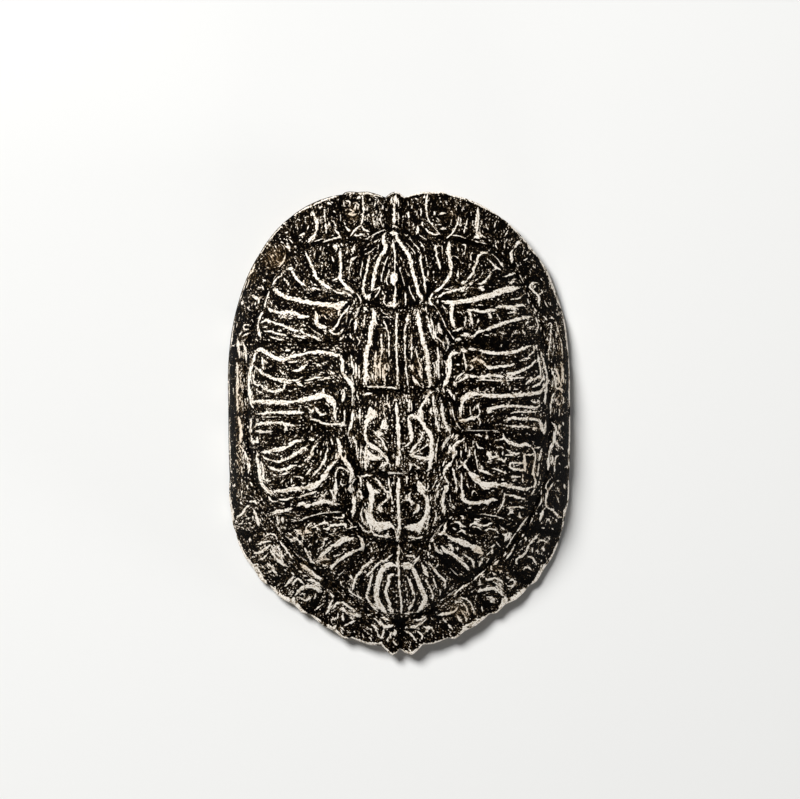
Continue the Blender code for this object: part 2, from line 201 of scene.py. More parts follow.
def lobe(angle):  # how far the lobes of the marginal scutes stand out of the smooth rim
    span = rimAngles[-1] - rimAngles[-2]
    tail = np.clip((np.abs(angle) - rimAngles[-2]) / span, 0.0, 1.0)
    moved = angle + tailShift * span * np.sin(math.pi * tail**tailBend) * (angle > 0)
    first, last = lobeFlanks
    rows = [(0.0, first * front, front, notch, rear, last * rear) for front, notch, rear in lobes]
    marginal = alongRim(moved, lobeAlong, rows) * millimetre
    nuchal = nuchalLobe * np.cos(np.clip(np.abs(angle) / rimAngles[0], 0.0, 1.0) * math.pi / 2)
    return np.where(np.abs(angle) < rimAngles[0], nuchal, marginal)


def bandRow(before, notch, after):  # widths of the pale edge at the places of bandAlong
    seam, shoulder = bands["seam"], bands["shoulder"]
    start, end = bands["start"] * before, bands["end"] * after
    return (seam, start, before, before + shoulder, notch, after + shoulder, after, end, seam)


def edgeBand(angle):  # width of the pale edge
    rows = {side: [bandRow(*widths) for widths in bands[side]] for side in ("Left", "Right")}
    left, right = (alongRim(angle, bandAlong, rows[side]) for side in ("Left", "Right"))
    width = np.where(angle > 0, right, left)
    return np.where(np.abs(angle) < rimAngles[0], bands["nuchal"], width)


def rimBottom(y):  # height of the rim's lower edge
    head = shell["headRise"] * smoothStep((y - shell["bridgeFront"]) / shell["riseRun"])
    tail = shell["tailRise"] * smoothStep((shell["bridgeRear"] - y) / shell["riseRun"])
    return head + tail


def dome(x, y):  # height of the outer face without its relief
    angle = np.arctan2(x, y)
    share = np.clip(np.hypot(x, y) / rimRadius(angle), 0.0, 1.0)
    end = np.where(y > 0, shell["steepHead"], shell["steepTail"])
    steepness = shell["steepSide"] + (end - shell["steepSide"]) * np.cos(angle) ** 2
    low = rimBottom(rimRadius(angle) * np.cos(angle)) + shell["edge"]
    crown = shell["height"] - shell["pillow"] - shell["keelHeight"]
    return low + (crown - low) * (1.0 - share ** shell["fullness"]) ** steepness


def lip(angle):  # width of the rim's underside
    y = rimRadius(angle) * np.cos(angle)
    margin, fade = shell["bridgeLipMargin"], shell["bridgeLipFade"]
    front = smoothStep((shell["bridgeFront"] + margin - y) / fade)
    bridge = front * smoothStep((y - shell["bridgeRear"] + margin) / fade)
    return shell["lip"] + (shell["bridgeLip"] - shell["lip"]) * bridge


def cornerPlace(name, push=1.0):  # plan position of a corner; push sends a rim corner outwards
    x, y = corners[name]
    place = np.array([x * shell["width"] / 2, y * shell["length"] / 2])
    return place * (push if name in rimCorners else 1.0)


def seamPath(start, end, push=1.0):  # points from one corner up to, but not including, the next
    a, b = cornerPlace(start, push), cornerPlace(end, push)
    if {start, end} <= rimCorners:
        return [a]
    bow = bows.get((start, end), -bows.get((end, start), 0.0))
    side = np.array([a[1] - b[1], b[0] - a[0]]) / math.dist(a, b)
    steps = bowSteps if bow else 1
    return [a + (b - a) * t + side * bow * 4 * t * (1 - t) for t in np.arange(steps) / steps]


def scuteOutlines():  # closed plan outline of every scute, pushed out past the rim
    outlines = {}
    for name, names in midlineScutes.items():
        half = [point for pair in zip(names, names[1:]) for point in seamPath(*pair, outlinePush)]
        half.append(cornerPlace(names[-1], outlinePush))
        outlines[name] = half + [point * (-1, 1) for point in reversed(half)]
    for name, names in sideScutes.items():
        pairs = zip(names, names[1:] + names[:1])
        right = [point for pair in pairs for point in seamPath(*pair, outlinePush)]
        outlines[name + "Right"] = right
        outlines[name + "Left"] = [point * (-1, 1) for point in right]
    return outlines


def seamPieces():  # ends of every straight piece of seam, both sides; seams run out over the edge
    chains = [list(zip(names, names[1:])) for names in midlineScutes.values()]
    chains += [list(zip(names, names[1:] + names[:1])) for names in sideScutes.values()]
    pieces = []
    for start, end in (pair for chain in chains for pair in chain):
        if not {start, end} <= rimCorners:
            points = [*seamPath(start, end, seamPush), cornerPlace(end, seamPush)]
            for flip in ((1, 1), (-1, 1)):
                pieces += [(a * flip, b * flip) for a, b in zip(points, points[1:])]
    return np.array(pieces)


def seamDistance(points):  # how far each place is from the nearest seam
    nearest = np.full(len(points), np.inf)
    for a, b in seamPieces():
        run = b - a
        share = np.clip(((points - a) @ run) / (run @ run), 0.0, 1.0)
        nearest = np.minimum(nearest, np.hypot(*(points - a - share[:, None] * run).T))
    return nearest


def insideOutline(points, outline):  # even-odd test
    x, y = points.T
    inside = np.zeros(len(points), bool)
    for (ax, ay), (bx, by) in zip(outline, [*outline[1:], outline[0]]):
        if ay != by:
            crosses = (ay > y) != (by > y)
            inside ^= crosses & (x < (bx - ax) * (y - ay) / (by - ay) + ax)
    return inside


def lean(y):  # how far the midline stands aside
    return shell["lean"] * smoothStep((y / shell["length"] - shell["leanFrom"]) / shell["leanRun"])


def swell(x, y):  # how far the right rim stands further out, fading to nothing inside the marginal scutes
    angle = np.arctan2(x, y)
    share = np.hypot(x, y) / rimRadius(angle)
    out = np.interp(y / millimetre, rightSwell["along"], rightSwell["out"]) * millimetre
    return np.where(x > 0, out * smoothStep((share - rightSwell["from"]) / rightSwell["run"]), 0.0)


def rimMiddle():  # middle of the leaning rim, which the frame has at its origin
    angle = np.linspace(-math.pi, math.pi, rimSteps + 1)
    radius = rimRadius(angle) + lobe(angle)
    x, y = radius * np.sin(angle), radius * np.cos(angle)
    x = x + lean(y)
    return (x.min() + x.max()) / 2, (y.min() + y.max()) / 2


middleX, middleY = rimMiddle()


def settle(x, y):  # from the plan that the formulas use to the frame
    return x + lean(y) + swell(x, y) - middleX, y - middleY


def addGrid(name, columns, rows):
    bpy.ops.object.select_all(action="DESELECT")
    bpy.ops.mesh.primitive_grid_add(x_subdivisions=columns, y_subdivisions=rows, size=2.0)
    piece = bpy.context.object
    piece.name = piece.data.name = name
    return piece


def readPlaces(piece):
    places = np.zeros(len(piece.data.vertices) * 3)
    piece.data.vertices.foreach_get("co", places)
    return places.reshape(-1, 3)


def writePlaces(piece, places):
    piece.data.vertices.foreach_set("co", places.ravel())
    piece.data.update()


def discToPlan(across, along, inset, spread=1.0):  # bends a square grid to the rim's oval
    across = np.sign(across) * np.abs(across) ** spread
    x = across * np.sqrt(1.0 - along**2 / 2.0)
    y = along * np.sqrt(1.0 - across**2 / 2.0)
    angle = np.arctan2(x * shell["width"], y * shell["length"])
    reach = np.clip(np.hypot(x, y), 0.0, 1.0) * (rimRadius(angle) + inset(angle))
    return reach * np.sin(angle), reach * np.cos(angle)


def selectOpenEdges():  # of the piece that is in edit mode
    bpy.ops.mesh.select_mode(type="VERT")
    bpy.ops.mesh.select_all(action="DESELECT")
    bpy.ops.mesh.select_non_manifold(
        extend=False, use_wire=False, use_boundary=True, use_multi_face=False, use_non_contiguous=False,
        use_verts=False,
    )  # fmt: skip


def extrudeRim(piece, rings):  # rings: (inset from the widest line, share of the edge's height)
    for inset, share in rings:
        bpy.ops.object.mode_set(mode="EDIT")
        selectOpenEdges()
        bpy.ops.mesh.extrude_region_move()
        bpy.ops.object.mode_set(mode="OBJECT")
        chosen = np.zeros(len(piece.data.vertices), bool)
        piece.data.vertices.foreach_get("select", chosen)
        places = readPlaces(piece)
        x, y = places[chosen, :2].T
        angle = np.arctan2(x, y)
        radius = rimRadius(angle) + lobe(angle) - inset
        places[chosen, 0], places[chosen, 1] = radius * np.sin(angle), radius * np.cos(angle)
        places[chosen, 2] = rimBottom(rimRadius(angle) * np.cos(angle)) + share * shell["edge"]
        writePlaces(piece, places)


# Pale growth streaks of each scute, listed in millimetres: the width of each, or its widths at start
# and end, then x and y of each point
scuteStreaks = {
    "vertebral1": [
        (2.9,-4.4,110.8,-1.2,110.4),
        (2.3,-1.5,110,-0.8,107,1,104.5,3.5,101,5.8,97.5,7,93,8,88,9.5,83.5,10.4,79,11.2,76,12.8,73.5,
         13.3,71.5,12.3,70),
        (2.4,-7.8,110.5,-9,108.5,-8.6,105,-7.6,102,-8.5,99.5,-10.5,97,-12.2,93.5,-13.5,89,-14.3,85,
         -14.8,81,-15.7,77), (1.1,-15.4,76.8,-12.5,78,-10.9,78.9,-11.8,76,-14.5,72),
        (1.7,-16.2,75.3,-17.6,73,-16.8,70.6), (1.2,-3.6,106.4,-3,104,-2.5,100,-2.2,95,-2.4,88),
        (0.7,-5.8,105.6,-4.4,104,-4,99), (4.2,-2.9,87.6,-2.9,80.8),
        ((1.5,2.4),-2,79.5,-2.1,74,-2.6,71,-2.8,68), (2.2,-5.6,70,-2.8,68,-0.2,69.5),
        (1.2,-9.8,77,-8,73.5,-8.8,70.5,-7,68.4,-4,67.4), (0.8,0,98.5,1.5,95,3,91.5,4.2,88.5,5.2,86),
        (0.8,0.2,91,1,88,1.8,85.5,2.6,82.5,3.4,79.5), (1,5.7,80.5,6.4,77.5,7.6,74.5,9.3,71.5),
        (1.4,3.5,76.5,4,73,4,70,3.6,68.3), (0.8,1,72,1.2,69), (0.7,3.2,110.2,4.8,108.6),
        (0.8,4.5,104.8,6.5,102.5,9,99.5,9.3,96.5), (1.1,8.3,105,10.5,102.5,12.5,100),
        (1.5,13,98,12.4,95.5,13,92,13.8,88,14.6,84,15,80,15.6,76.5), (0.8,15.4,84.8,17.3,82.5),
        (0.9,12.5,105,14.5,102.5,15,99.5), (0.8,15,98.5,16,95,16.5,91.5), (1.2,16.8,88,16.9,85.5),
        (0.7,6.5,108,7.5,106), (1,-6,97.5,-7.5,94,-8.8,90,-9.8,86,-10.2,82), (1,-4.8,94.2,-4.6,91),
        (1.1,-5.5,89,-6.5,85.5,-7.3,83,-6.6,80.8), (1.1,-10.5,107.5,-13.5,105.8,-15,104.5),
        (0.8,-16.6,104.8,-19,102.5), (1,-14.3,101.5,-16.5,99.6,-19.5,98.2),
        (1.7,-17,97.8,-17.5,95,-18,91,-19,87,-19.8,83,-20.5,79.5,-20.4,76,-19,73.5,-17.8,71.6),
        (1,-21,94,-21.3,91,-22,88,-22,84), (0.8,-11.6,104,-12,101), (0.8,-12.8,98.2,-14.5,96),
    ],
    "vertebral2": [
        (1.6,-1.1,64,-1.3,60,-1.6,55,-1.3,50,-1.4,45,-1.2,40,-1,35,-0.8,30,-0.9,25,-1.2,20.6),
        (0.9,-9.5,64.2,-6,62.8,-2.6,60.6), (0.9,-8.8,61.6,-5.4,61), (2.1,5.6,63,4.6,58.6),
        (1.3,4.2,58,3.4,54,3.3,50,3.5,45,3.6,40,4.2,35,4.2,30,5,26,5.2,22),
        (1.3,7.5,52,7.2,47,7.5,42,7.3,37), (2.2,7.4,34,8,31.4), (2.3,8,27.4,9.5,24.5,12,22.3),
        (1.1,9.5,44,10.5,40,11.5,36,13,32.5,14,30.6), (1.7,11,31.5,12.5,28,13.6,25.6),
        (2.8,11.3,65.3,11.5,60,12.3,55,13.3,50,14.5,45,16,41,16.8,36,17,31,17.8,26,18.2,22),
        (1.3,18.4,21.6,15.8,21.2), (1.1,9.8,66.5,8.2,63.2), (1.5,15.8,68,15.9,64.8),
        (1.3,16.3,62.5,17.2,58.5,18,54,19.3,51,21,48.5),
        (1.2,18.5,61,19.5,57,20.5,53,21.5,50,23.5,48.5,25.5,46.5,26.2,44.6),
        (2.5,22.6,57.6,23.4,54.4,25,52), (1.7,27,50,28.5,47,28.9,45,27.5,42),
        (1.5,22.4,44,22.6,40,22.8,35,23,30,23.5,25), (1.1,20.5,35,21,31,22,27.5),
        (0.7,24.8,42,25,37,25.2,32),
        (2.9,-15,66,-14.4,62,-14.6,59,-15.6,57,-16.3,53,-16.5,49,-17.5,45,-18.8,41,-19,36,-19.2,31,
         -19.3,26,-18.8,23), (2.1,-13.8,59.6,-12.6,57.4),
        (1.4,-18.6,22,-17,21.2,-13,21.6,-8,21.2,-4,20.8,-1,20),
        (1.3,-9,60,-7.5,56.5,-6.3,53,-5.8,49,-5.6,44,-5.6,39), (0.9,-12,54.8,-8,54.8),
        (1.4,-9.8,52,-10,47,-9.6,43,-10,40), (0.8,-8.6,48.5,-6.5,48.2),
        (1.4,-13,42,-13.8,36,-13,31,-13.5,24), (1.4,-10.6,38,-11,32,-10.4,26),
        (1.7,-8,34.5,-8.6,29,-8,23), (1.3,-6,35,-5.6,30.6), (1.1,-15.6,30,-15.4,25), (2,-20,67,-18.6,66),
        (1.4,-19.2,63.4,-20,59.4,-20.6,56), (2,-24,62,-24.8,58,-25.2,53), (1.6,-28.2,52,-27,49),
        (1.1,-24.4,50,-22.6,47.4,-24,45), (1.1,-26.6,46,-25,43),
        (1.3,-27.7,39.8,-27,35,-26.4,31,-25.8,27,-24.4,22.4), (1.3,-25,35,-24.8,30,-24.5,26),
        (1.1,-23,34,-23,29,-22.5,25), (0.9,-21.6,53,-21.4,50),
    ],
    "vertebral3": [
        (2.3,-1.5,12,-1.2,8,-0.8,4,-0.5,0,-0.2,-5,0,-10,0.1,-15,0,-20,-0.5,-24),
        (0.9,-5.5,15,-5.2,10,-5,6), (1,-9,8,-8,4,-7,1), (2.1,-9,2,-9.3,-2,-6.6,-3),
        (4.4,-16.4,9,-16.4,5,-16.8,2), (3.8,-14.6,7.4,-13.6,4.6), ((3.4,1.8),-17,3.4,-18.8,0.6,-19.3,-3),
        (2.2,-19.2,-2,-19.3,-6,-18,-10.2,-15.4,-12.8,-12,-15,-9,-17.6,-7,-20,-6.2,-22.4),
        (2.1,-18.5,-12,-19,-17,-19,-22,-19,-26.5), (2.5,-18,-15,-15.5,-18.6,-11,-19),
        (2.1,-18,-20.4,-14,-20.5,-10,-20), (2.6,-13.6,-4.6,-11,-5.2,-9,-6.4), (2.2,-8.4,1.2,-6.6,-1.6),
        (1.2,-14,-6,-11,-8,-9,-10,-8,-13,-6.5,-16), (0.8,-15,-9,-12,-11,-10,-13.5),
        (1.6,-11,-25,-8,-23.5,-6.5,-22), (1,-6,-20,-5,-24), (2.1,-19.5,17,-16,17.5), (1,-24,17,-23,13),
        (1.9,-26.6,9,-26.6,5,-27,1,-28,-2,-29,-4.5), (1.7,-29.5,-6,-28.3,-10,-27,-14),
        (1.4,-22.5,9,-22.3,4,-22.5,1), (0.8,-24,5,-23.8,1),
        (1.2,-27,-7,-26,-9,-24.5,-12,-24,-16,-23.5,-21), (1.1,-22,-13,-22,-18,-22,-24),
        (1.2,4.2,17,4.5,13), (0.8,2,16,2.5,13,4,11), (1.4,6.2,14,5.8,10,5.6,7), (0.8,7.5,13,7.5,9,7.4,7),
        (1.9,20,18.5,17.5,17.5,15.5,14,13.8,11,12.3,8.5,11,6.5), (1,6,5.3,10,5), (2.7,6,4.5,10,4,14,1),
        (2.7,12.8,9,13,6,13,3,14,0,16,-3,18,-6,19.2,-9,18.8,-12,18.8,-17,18.2,-22,17.6,-26,16.5,-26.8),
        (2.8,5.6,3,6.3,-2,7.4,-6,7,-10.6), (1.6,6.5,-10.5,5,-12,4,-13),
        (1.4,12.5,-4.5,13.8,-6,12.5,-9,10.5,-11.5,8,-14,7,-17), (1.2,17,-11.5,14,-14,10.5,-16,7,-18),
        (2.6,6.5,-18,10,-19,14,-20,18,-20), (1.7,6,-22.5,7,-24,6,-27), (1.4,8,-22.5,11,-25,13,-25.5),
        (1.2,17,15,17.3,11), (1.4,18.3,9,18.5,6),
        (1.4,19.8,17,20,12,20.5,8,21,5,21.7,1,22.5,-2,23.8,-4.5), (0.9,21.5,12,22,9,22.8,5),
        (2.1,24,16.5,24.8,12,25.2,8,25.7,4,26.2,1,27.5,-1,29,-3,29.3,-5),
        (1.9,30,-6,28,-9,26,-12,24.8,-15), (1,24,0,25.5,-3), (1.2,23,-8,22,-12,21.5,-16,21.3,-22),
        (1.6,-2,-23,0.5,-25), (1.5,-7,-28,0,-28.6,5,-28.3),
    ],
    "vertebral4": [
        (2.2,0,-31.5,-0.2,-36,-0.6,-40,-0.2,-45,0,-50,0.2,-55,0.4,-60,0.6,-64), (2,-0.5,-65,-1,-67,1,-68),
        (1.1,-3,-59.5,-1.8,-62,-1.2,-65),
        (3.3,-18,-34,-16.5,-37,-15.8,-41,-15.8,-45,-16.5,-49,-16.5,-53,-14.5,-57,-12.5,-60,-11,-62),
        (2.8,-14,-38.5,-11.8,-39.5), (5,-14,-57.5,-10,-59,-6,-58.5,-3.4,-59.6),
        (1.5,-15,-31.5,-12,-33,-10,-36,-8,-38.5,-6.5,-40.5,-6.2,-43,-8,-45,-10.5,-46.5),
        (2.9,-11.2,-46.8,-11.4,-48.6,-9.5,-50.5), (1.4,-6,-31,-5.5,-35,-5,-38,-4.3,-42,-3.7,-46),
        (1.5,-21,-30,-15,-29.5), (1.4,-22.5,-31,-21.5,-34), (2.4,-26.3,-41,-25.8,-45,-26,-50,-26.8,-53.5),
        (1.3,-22.8,-38,-21.8,-41,-20.8,-44.5), (1,-24,-40,-23.5,-44),
        (1.3,-21.2,-49,-21.8,-52,-21.3,-55,-19.5,-58,-18.3,-60),
        (1.5,-19.8,-49,-18.5,-53,-18,-56,-16.5,-59,-15.5,-62,-13.5,-64.3,-9,-65.3,-4.5,-65.3),
        (1,-23.5,-57,-21,-60.5,-19.5,-63), (4.4,11.5,-34,13,-38,14.5,-40),
        (2.9,14.5,-41,16.3,-44,16.8,-48,16,-52,15,-55,12,-58,8,-59.5,3.5,-60),
        (3.9,14,-56.5,12,-60,11.5,-62.5), (4.4,4.8,-59.8,9,-60,12,-61),
        (1.9,7,-39.5,5.7,-42,6.8,-44.5,9.5,-45.8), (2.6,9.8,-46,11.2,-48,10.5,-50,8.5,-51.5),
        (1.1,3.8,-41,4.2,-44), (1.7,5,-30,4.5,-34), (1.1,17.3,-35.5,16,-39),
        (2.2,26.5,-34,26.8,-38,25.8,-42,25.2,-46,25.8,-50,26.5,-52.5), (1.1,22,-32,20.5,-35,19,-38),
        (1,24,-34,22,-37,20.5,-40), (1,23.5,-38,21.5,-42,20.5,-45), (1,19.5,-41,18.5,-44),
        (1.4,21,-50,21.7,-53,20.8,-56,19.5,-59.5), (1.1,18,-53,16.8,-57,15.5,-61), (0.9,24,-53,22.5,-56),
        (1.5,5,-65.3,9,-66,12.5,-66,14,-65), (1,25,-58,22.5,-62,20,-65,18,-67.5),
    ],
    "vertebral5": [
        (1.7,0,-70,-0.2,-74,-0.5,-78,-0.2,-82,0,-88,0.3,-94,1,-100,1.5,-105,1.4,-110.5),
        (2.7,-0.6,-79,-0.5,-83),
        (3.4,-2,-82,-5,-81.5,-8.5,-83,-10.5,-87,-11.8,-91,-13,-96,-13,-101,-11.5,-105,-9,-108,-7,-110.5),
        (2.1,-3,-87,-5.5,-88.5,-6,-92,-7.5,-97,-6.8,-101,-5.5,-104,-5,-108,-4.8,-110),
        (1.5,-3.2,-108,-3.5,-111),
        (1.6,-15,-87.5,-16.5,-91,-17.3,-95,-18.5,-99,-17.8,-102.5,-15.5,-105.5,-12.5,-109),
        (1.6,-3.5,-75.5,-5,-76.5,-8,-79,-11.5,-80.5,-14,-83,-16,-86,-19.5,-88.5),
        (1.7,-13.5,-79,-17,-80.5,-20,-82.5,-22,-86,-25,-89,-26,-93,-27,-97),
        (1.4,-29.5,-95,-28,-98,-24,-100.5,-20.5,-102.5), (1.1,-24,-97,-23,-100), (1.1,-34,-91,-33,-94),
        (1.1,-29,-88,-27.5,-90), (1,-33,-96.5,-26,-102,-20,-106), (1.1,-12,-72,-12,-74),
        (1.1,-15.5,-71,-16,-73.5), (4.6,3,-82,7,-82.3),
        (3,8,-83,9.2,-86,10.8,-90,12.8,-95,14.3,-99,15.3,-102,13.5,-106,11,-109.5),
        (1.8,8.5,-81.5,10.5,-79,11.8,-77), (1.8,4,-76.5,8,-76.5,9.5,-78),
        (1.7,5,-89,6.5,-92,7.5,-95,8.8,-99,9.3,-101), (1.7,8.5,-102,8,-105,6,-107,6,-109),
        (2.5,13.8,-82,15,-85,17,-88.5), (1.5,15,-90,17,-93,19,-97,19.8,-100,19.5,-103),
        (1.7,16.6,-80.6,19.5,-83,21.5,-86,24,-88.5,26.5,-91,27,-95), (1.6,20,-90,21,-93,22,-95.5),
        (1.5,23,-80.5,22,-83), (1.4,24,-96,24,-99), (1.5,16.8,-74,17.2,-76.5), (1.1,18.5,-76,20.5,-77.5),
        (1.5,18,-69.5,18,-73), (1.3,34,-96,28,-100.5,22,-106), (1.1,3,-110.5,6,-110,9,-109.5),
    ],
    "costal1Right": [
        ((1.6,2.2),21,103.4,21.2,101,22.4,98.8), (1.3,24,103.2,21.5,103.2),
        (1.6,21.3,97.5,22.6,95,23.4,92,24,89.3), (0.9,25,103.5,25.2,100,25.4,96),
        ((2.8,1.8),29.2,105,28.8,101,29.2,98,29.8,94,30,90,30,87,28.8,84.5,26.8,82,25,79.5,23,77.5,
         20.8,76.6), (1,34,103.5,34.2,101,34.8,99), (1,36.5,104,38.8,103.3,38.5,101,37.8,97.5),
        (0.8,31.5,97.5,34.5,96,36,93.5,36.5,91), (1.5,34.5,88,34,86,34.5,84.5), (1.2,33,83.7,34,82),
        (1.3,43.5,99,42,98.5,41.6,96,42.3,94.5),
        ((1.8,2),52,98.6,49.5,99.6,47,97.8,45.5,95.5,44.8,92.5,43.4,90.3,43,87.5,41.5,85.5,39.5,83.3),
        (2,39,82.4,37.5,81.7,36,81), (1.8,43,81.7,41,81), (1.1,46,84,44,82.5),
        (1.4,52.3,95,54.5,92.5,57,90.5,59,89.3), (1,54,98.5,56.5,96.5,58.5,94), (2,59,93.5,60.5,91.5),
        (1.6,55,89,57,90.2,58.8,89.4), ((1.2,1.8),54,87,52,85,50,82.8,48,81.2,46,80.8),
        (2.4,49.3,77.6,46.7,78.6), (1.6,39,80,37,78.4,34,77.6,31.5,76.9,28.5,76,25.5,75,22.8,73.2),
        (0.9,40.5,79,38,77,35.5,76), (0.8,33,80,29,78.5,26,77.5),
        (1.6,19.8,76,18.6,73.8,17.9,71.5,18.4,69.5,20.5,68.2),
        ((4.2,2.4),69.5,79,66,78.3,61.2,77.4,57,75.8,52,74.1,47,72.9,41,71.3,34,70.4,28,70.1,25.8,70.6),
        ((1.2,1.6),60.5,85.4,62,85.4,65,86.6,67.5,87.2), (1.2,68,84,65.5,83.4), (1.2,67.5,82.5,64,82),
        (0.8,68.5,87,70,84.5,71.2,82), (1.4,72.5,77.8,74,75.3), (1.4,74.5,72.5,75.8,70),
        (1,78,66,79.5,63.5), ((2.6,2),31.5,70,30.8,67,30.2,64,30.6,60.5,31.4,57.5,32.8,55),
        (1.8,37,55.5,34.5,54.2,31.5,53.6), (1.4,22.3,71,22.5,69.8), (0.9,25,69,26.2,66.5,27.5,64),
        (0.8,21,67.8,23.3,64.3,25.2,60.5,27,56.3,28.5,52.5), (0.8,28.3,54.6,30.3,51,32.2,48.2,33.5,47),
        (1.2,72.3,75,70,72.8,67.5,72.3,65,72.2), ((1.8,2.4),73.5,69,69,68.3,65,67.6,60,67.9,56.5,67.5),
        ((2.2,1.8),56,66,52,65.3,48,64.8,44,65.5,40.5,65.4,41.3,63,42,60.5,42.5,57),
        (1.4,68,65.5,66,66.5,63,67), (1.2,69,64,66,64.4,63,64), (2.2,52.6,63.8,52.8,61),
        (1,57,63,58.2,61,58.6,60), (1.4,38.8,62,38.5,59,38,56.5), (1.4,46,60.5,45.5,58),
        (1,33,65,36,64,37,62.5),
        ((1.8,2.3),77.5,61.8,74.5,61.8,71,60.9,66.5,60,62,58.8,58,57,54.5,55.9,51.5,54.6,50,54.3),
        ((2.2,1.6),49.5,53.8,46.5,53.2,44.5,51.8,43,50.4,40.8,50.2), (2.4,40,51.6,37,51.5),
        (2.2,35.5,48.8,32.8,48.6), (1.3,79.5,62,80.6,59,81,56.5,80.3,54,79.5,52),
        (1.4,79,56.2,76,56,74.5,55.5), (1.6,75,59.5,73.5,57.5), (1.6,72,54.5,72.8,52),
        (1.2,57,51.5,54.5,51.8), (1.2,61,52,58.5,53), (1.2,52,51,50,51.3), (1.2,68,54,67,52),
    ],
    "costal1Left": [
        ((1.9,2.1),-34.2,100.5,-34,96,-33.6,92,-33.8,88,-34.2,85,-33.3,82.8,-31.8,80.7,-30,79,-27.8,77.5,
         -26,76), (1.2,-39,83,-37,83.2,-34.6,84), (2.6,-36.8,103.2,-36.6,101.3),
        (1.5,-33.5,104.5,-32.3,103), ((2.1,1.4),-25.6,103.4,-26.2,101,-26.6,98.5),
        (1,-30,102.5,-29.8,97.5), (1.4,-24.2,97,-26.8,95.2,-27.7,92.5,-28,91),
        (1,-28.8,90,-28.5,87,-27.7,84.5),
        ((1.5,2.2),-54,99.5,-53,97,-51.6,94.5,-50.5,91.5,-49,88.5,-48.3,86,-47.2,84,-45.5,82.3,-43.5,80.6,
         -41,79.2,-38.8,78), (1,-48.5,99.5,-49,97,-48.5,95.5), (0.9,-45,92,-44.2,89),
        (1,-44,100,-44.5,97.6), (1.2,-38.6,96.5,-37.8,94),
        ((1.4,2.2),-62.5,89.5,-61,87,-59.5,84.5,-58,82.5,-56,81,-54,80), (2.2,-63.8,90,-61.8,90),
        ((1,1.7),-73.6,80.2,-72,83,-70.5,84.6,-68.5,85.8), ((1.2,1.9),-67.5,85,-65,82.4,-63.8,80.3),
        (1.9,-72.5,78.2,-70.8,78.2), (1,-50,79,-47.5,78,-45,77), (1.7,-51.2,78,-49,77),
        (0.9,-44,77.6,-41,76), (1.2,-37.5,77,-35.5,75.8,-31.5,75.2,-28.5,74.6,-26.8,73.2),
        (0.9,-36,77.8,-33.5,77.2,-31,76.4), (1.3,-24,75,-22.8,73.2,-21.9,71,-22.3,69),
        (0.8,-25.2,72,-26,69.5,-27.5,68),
        ((2.6,2.9),-72.5,77.5,-70.5,76.2,-68,74.8,-64.5,73,-60,72.1,-55,70.8,-50,69.9,-45,69.2,-40,68.6,
         -36,68.6,-32.5,69.6,-30.3,70.2), (4.1,-36.6,67.4,-33,68), (1.7,-34.4,65.8,-34.8,62.6),
        (1.3,-75.3,77,-76.3,74,-77.3,70.5,-77.8,67.5), ((1.5,2.1),-78.8,65.2,-80.5,62,-81.6,59.2),
        (1.9,-81.8,57,-81.4,53.5,-80.2,50.2),
        ((1.1,1.5),-28.5,68.5,-29.7,66,-31.7,63.8,-33.5,61.8,-34.6,59.5,-35.5,57.2,-37.5,55.2,-39.5,54.3),
        (0.7,-20.6,69.5,-23,67.3,-25.8,65.5), (1.7,-22.8,66.8,-24.3,63.6,-25.6,60.8),
        (0.8,-29.5,64.5,-30,61,-30.5,57.5), (0.7,-27,62,-28.5,57,-30,53),
        (1.4,-31.8,55.2,-33.2,52.8,-35.7,51.6,-38.5,52.4,-40.2,54.2), (0.9,-31,51.6,-33.2,49,-35.5,47.2),
        ((1.7,2.9),-76.2,68.2,-74.6,65.8,-71.5,64.8,-68,64.3,-64,64.6,-60.5,64,-58,62.6,-55.5,62,
         -52.5,62), (1.2,-68.5,62.5,-65,61.2,-61,60.9),
        ((2.6,3.1),-48,64.6,-47.6,61.5,-47.2,58,-45,56.2,-42,56), (0.9,-43.5,63,-41.5,60),
        (1.1,-39,64,-38.6,62.6), (1,-75,72,-74,69.5), (1,-72,69,-70.5,67),
        ((1.5,2.2),-80,58.4,-78,59.6,-75,59.5,-72,58.5,-69,57.6,-66.5,56.5,-63.2,55.2,-60,53.8,
         -58.6,53.6), (1.5,-78,53.6,-74.5,53.4,-71.5,52.7,-67.8,51.6,-64.6,50.9),
        ((1.1,2.1),-56.8,55.2,-56,53,-53.3,51.6,-50,50.5,-47.3,49.5,-45.6,48),
        (1,-57,56,-55.5,57.4,-53.6,56.4), (1.3,-75,50.5,-70,49,-66,48.3), (1.2,-62,51,-58,50.3,-54,49.3),
        (0.9,-50.5,55,-48,53,-46,51.5), (1,-79,56,-76,56.2), (1.4,-43.5,54,-41.5,52.6),
    ],
    "costal2Right": [
        ((2,2.3),76.4,45.2,73,44,69.5,42.4,65,41.2,60,40.8,55,40.7,51,41.4,46.5,42.3),
        (1.9,44.6,43,40,43.2), (2.6,38.5,42,36.5,42.4),
        ((2,2.8),35,40.8,31.8,40.8,29.6,39,29.4,35,29.4,31,28.5,27.5,27.2,24,25.8,21),
        (1.2,28,37,27.4,33,27.2,28), (1.3,25.6,20.3,26.3,17.7), (1.5,27.8,20.2,29.6,18.2,30.6,15.3),
        (1.4,31.8,17,32.3,13.4), (2.2,32,24,33,21.8), ((1.6,1.4),37.6,40,37.8,37,38.6,34,38.8,31),
        (1.5,38.4,30,36,28.6,34,27,33,25.4), (1.6,40,34.2,42,33.6,42.2,32,41,31), (1.2,35.3,34,33,34),
        (1.8,45,38.4,43.5,36.8,41.5,35.6),
        ((1.6,2.2),67.5,34.6,63,33.4,58.5,33.2,55,32.5,52,32.4,49.6,34.8,47,36.6,45,37.4),
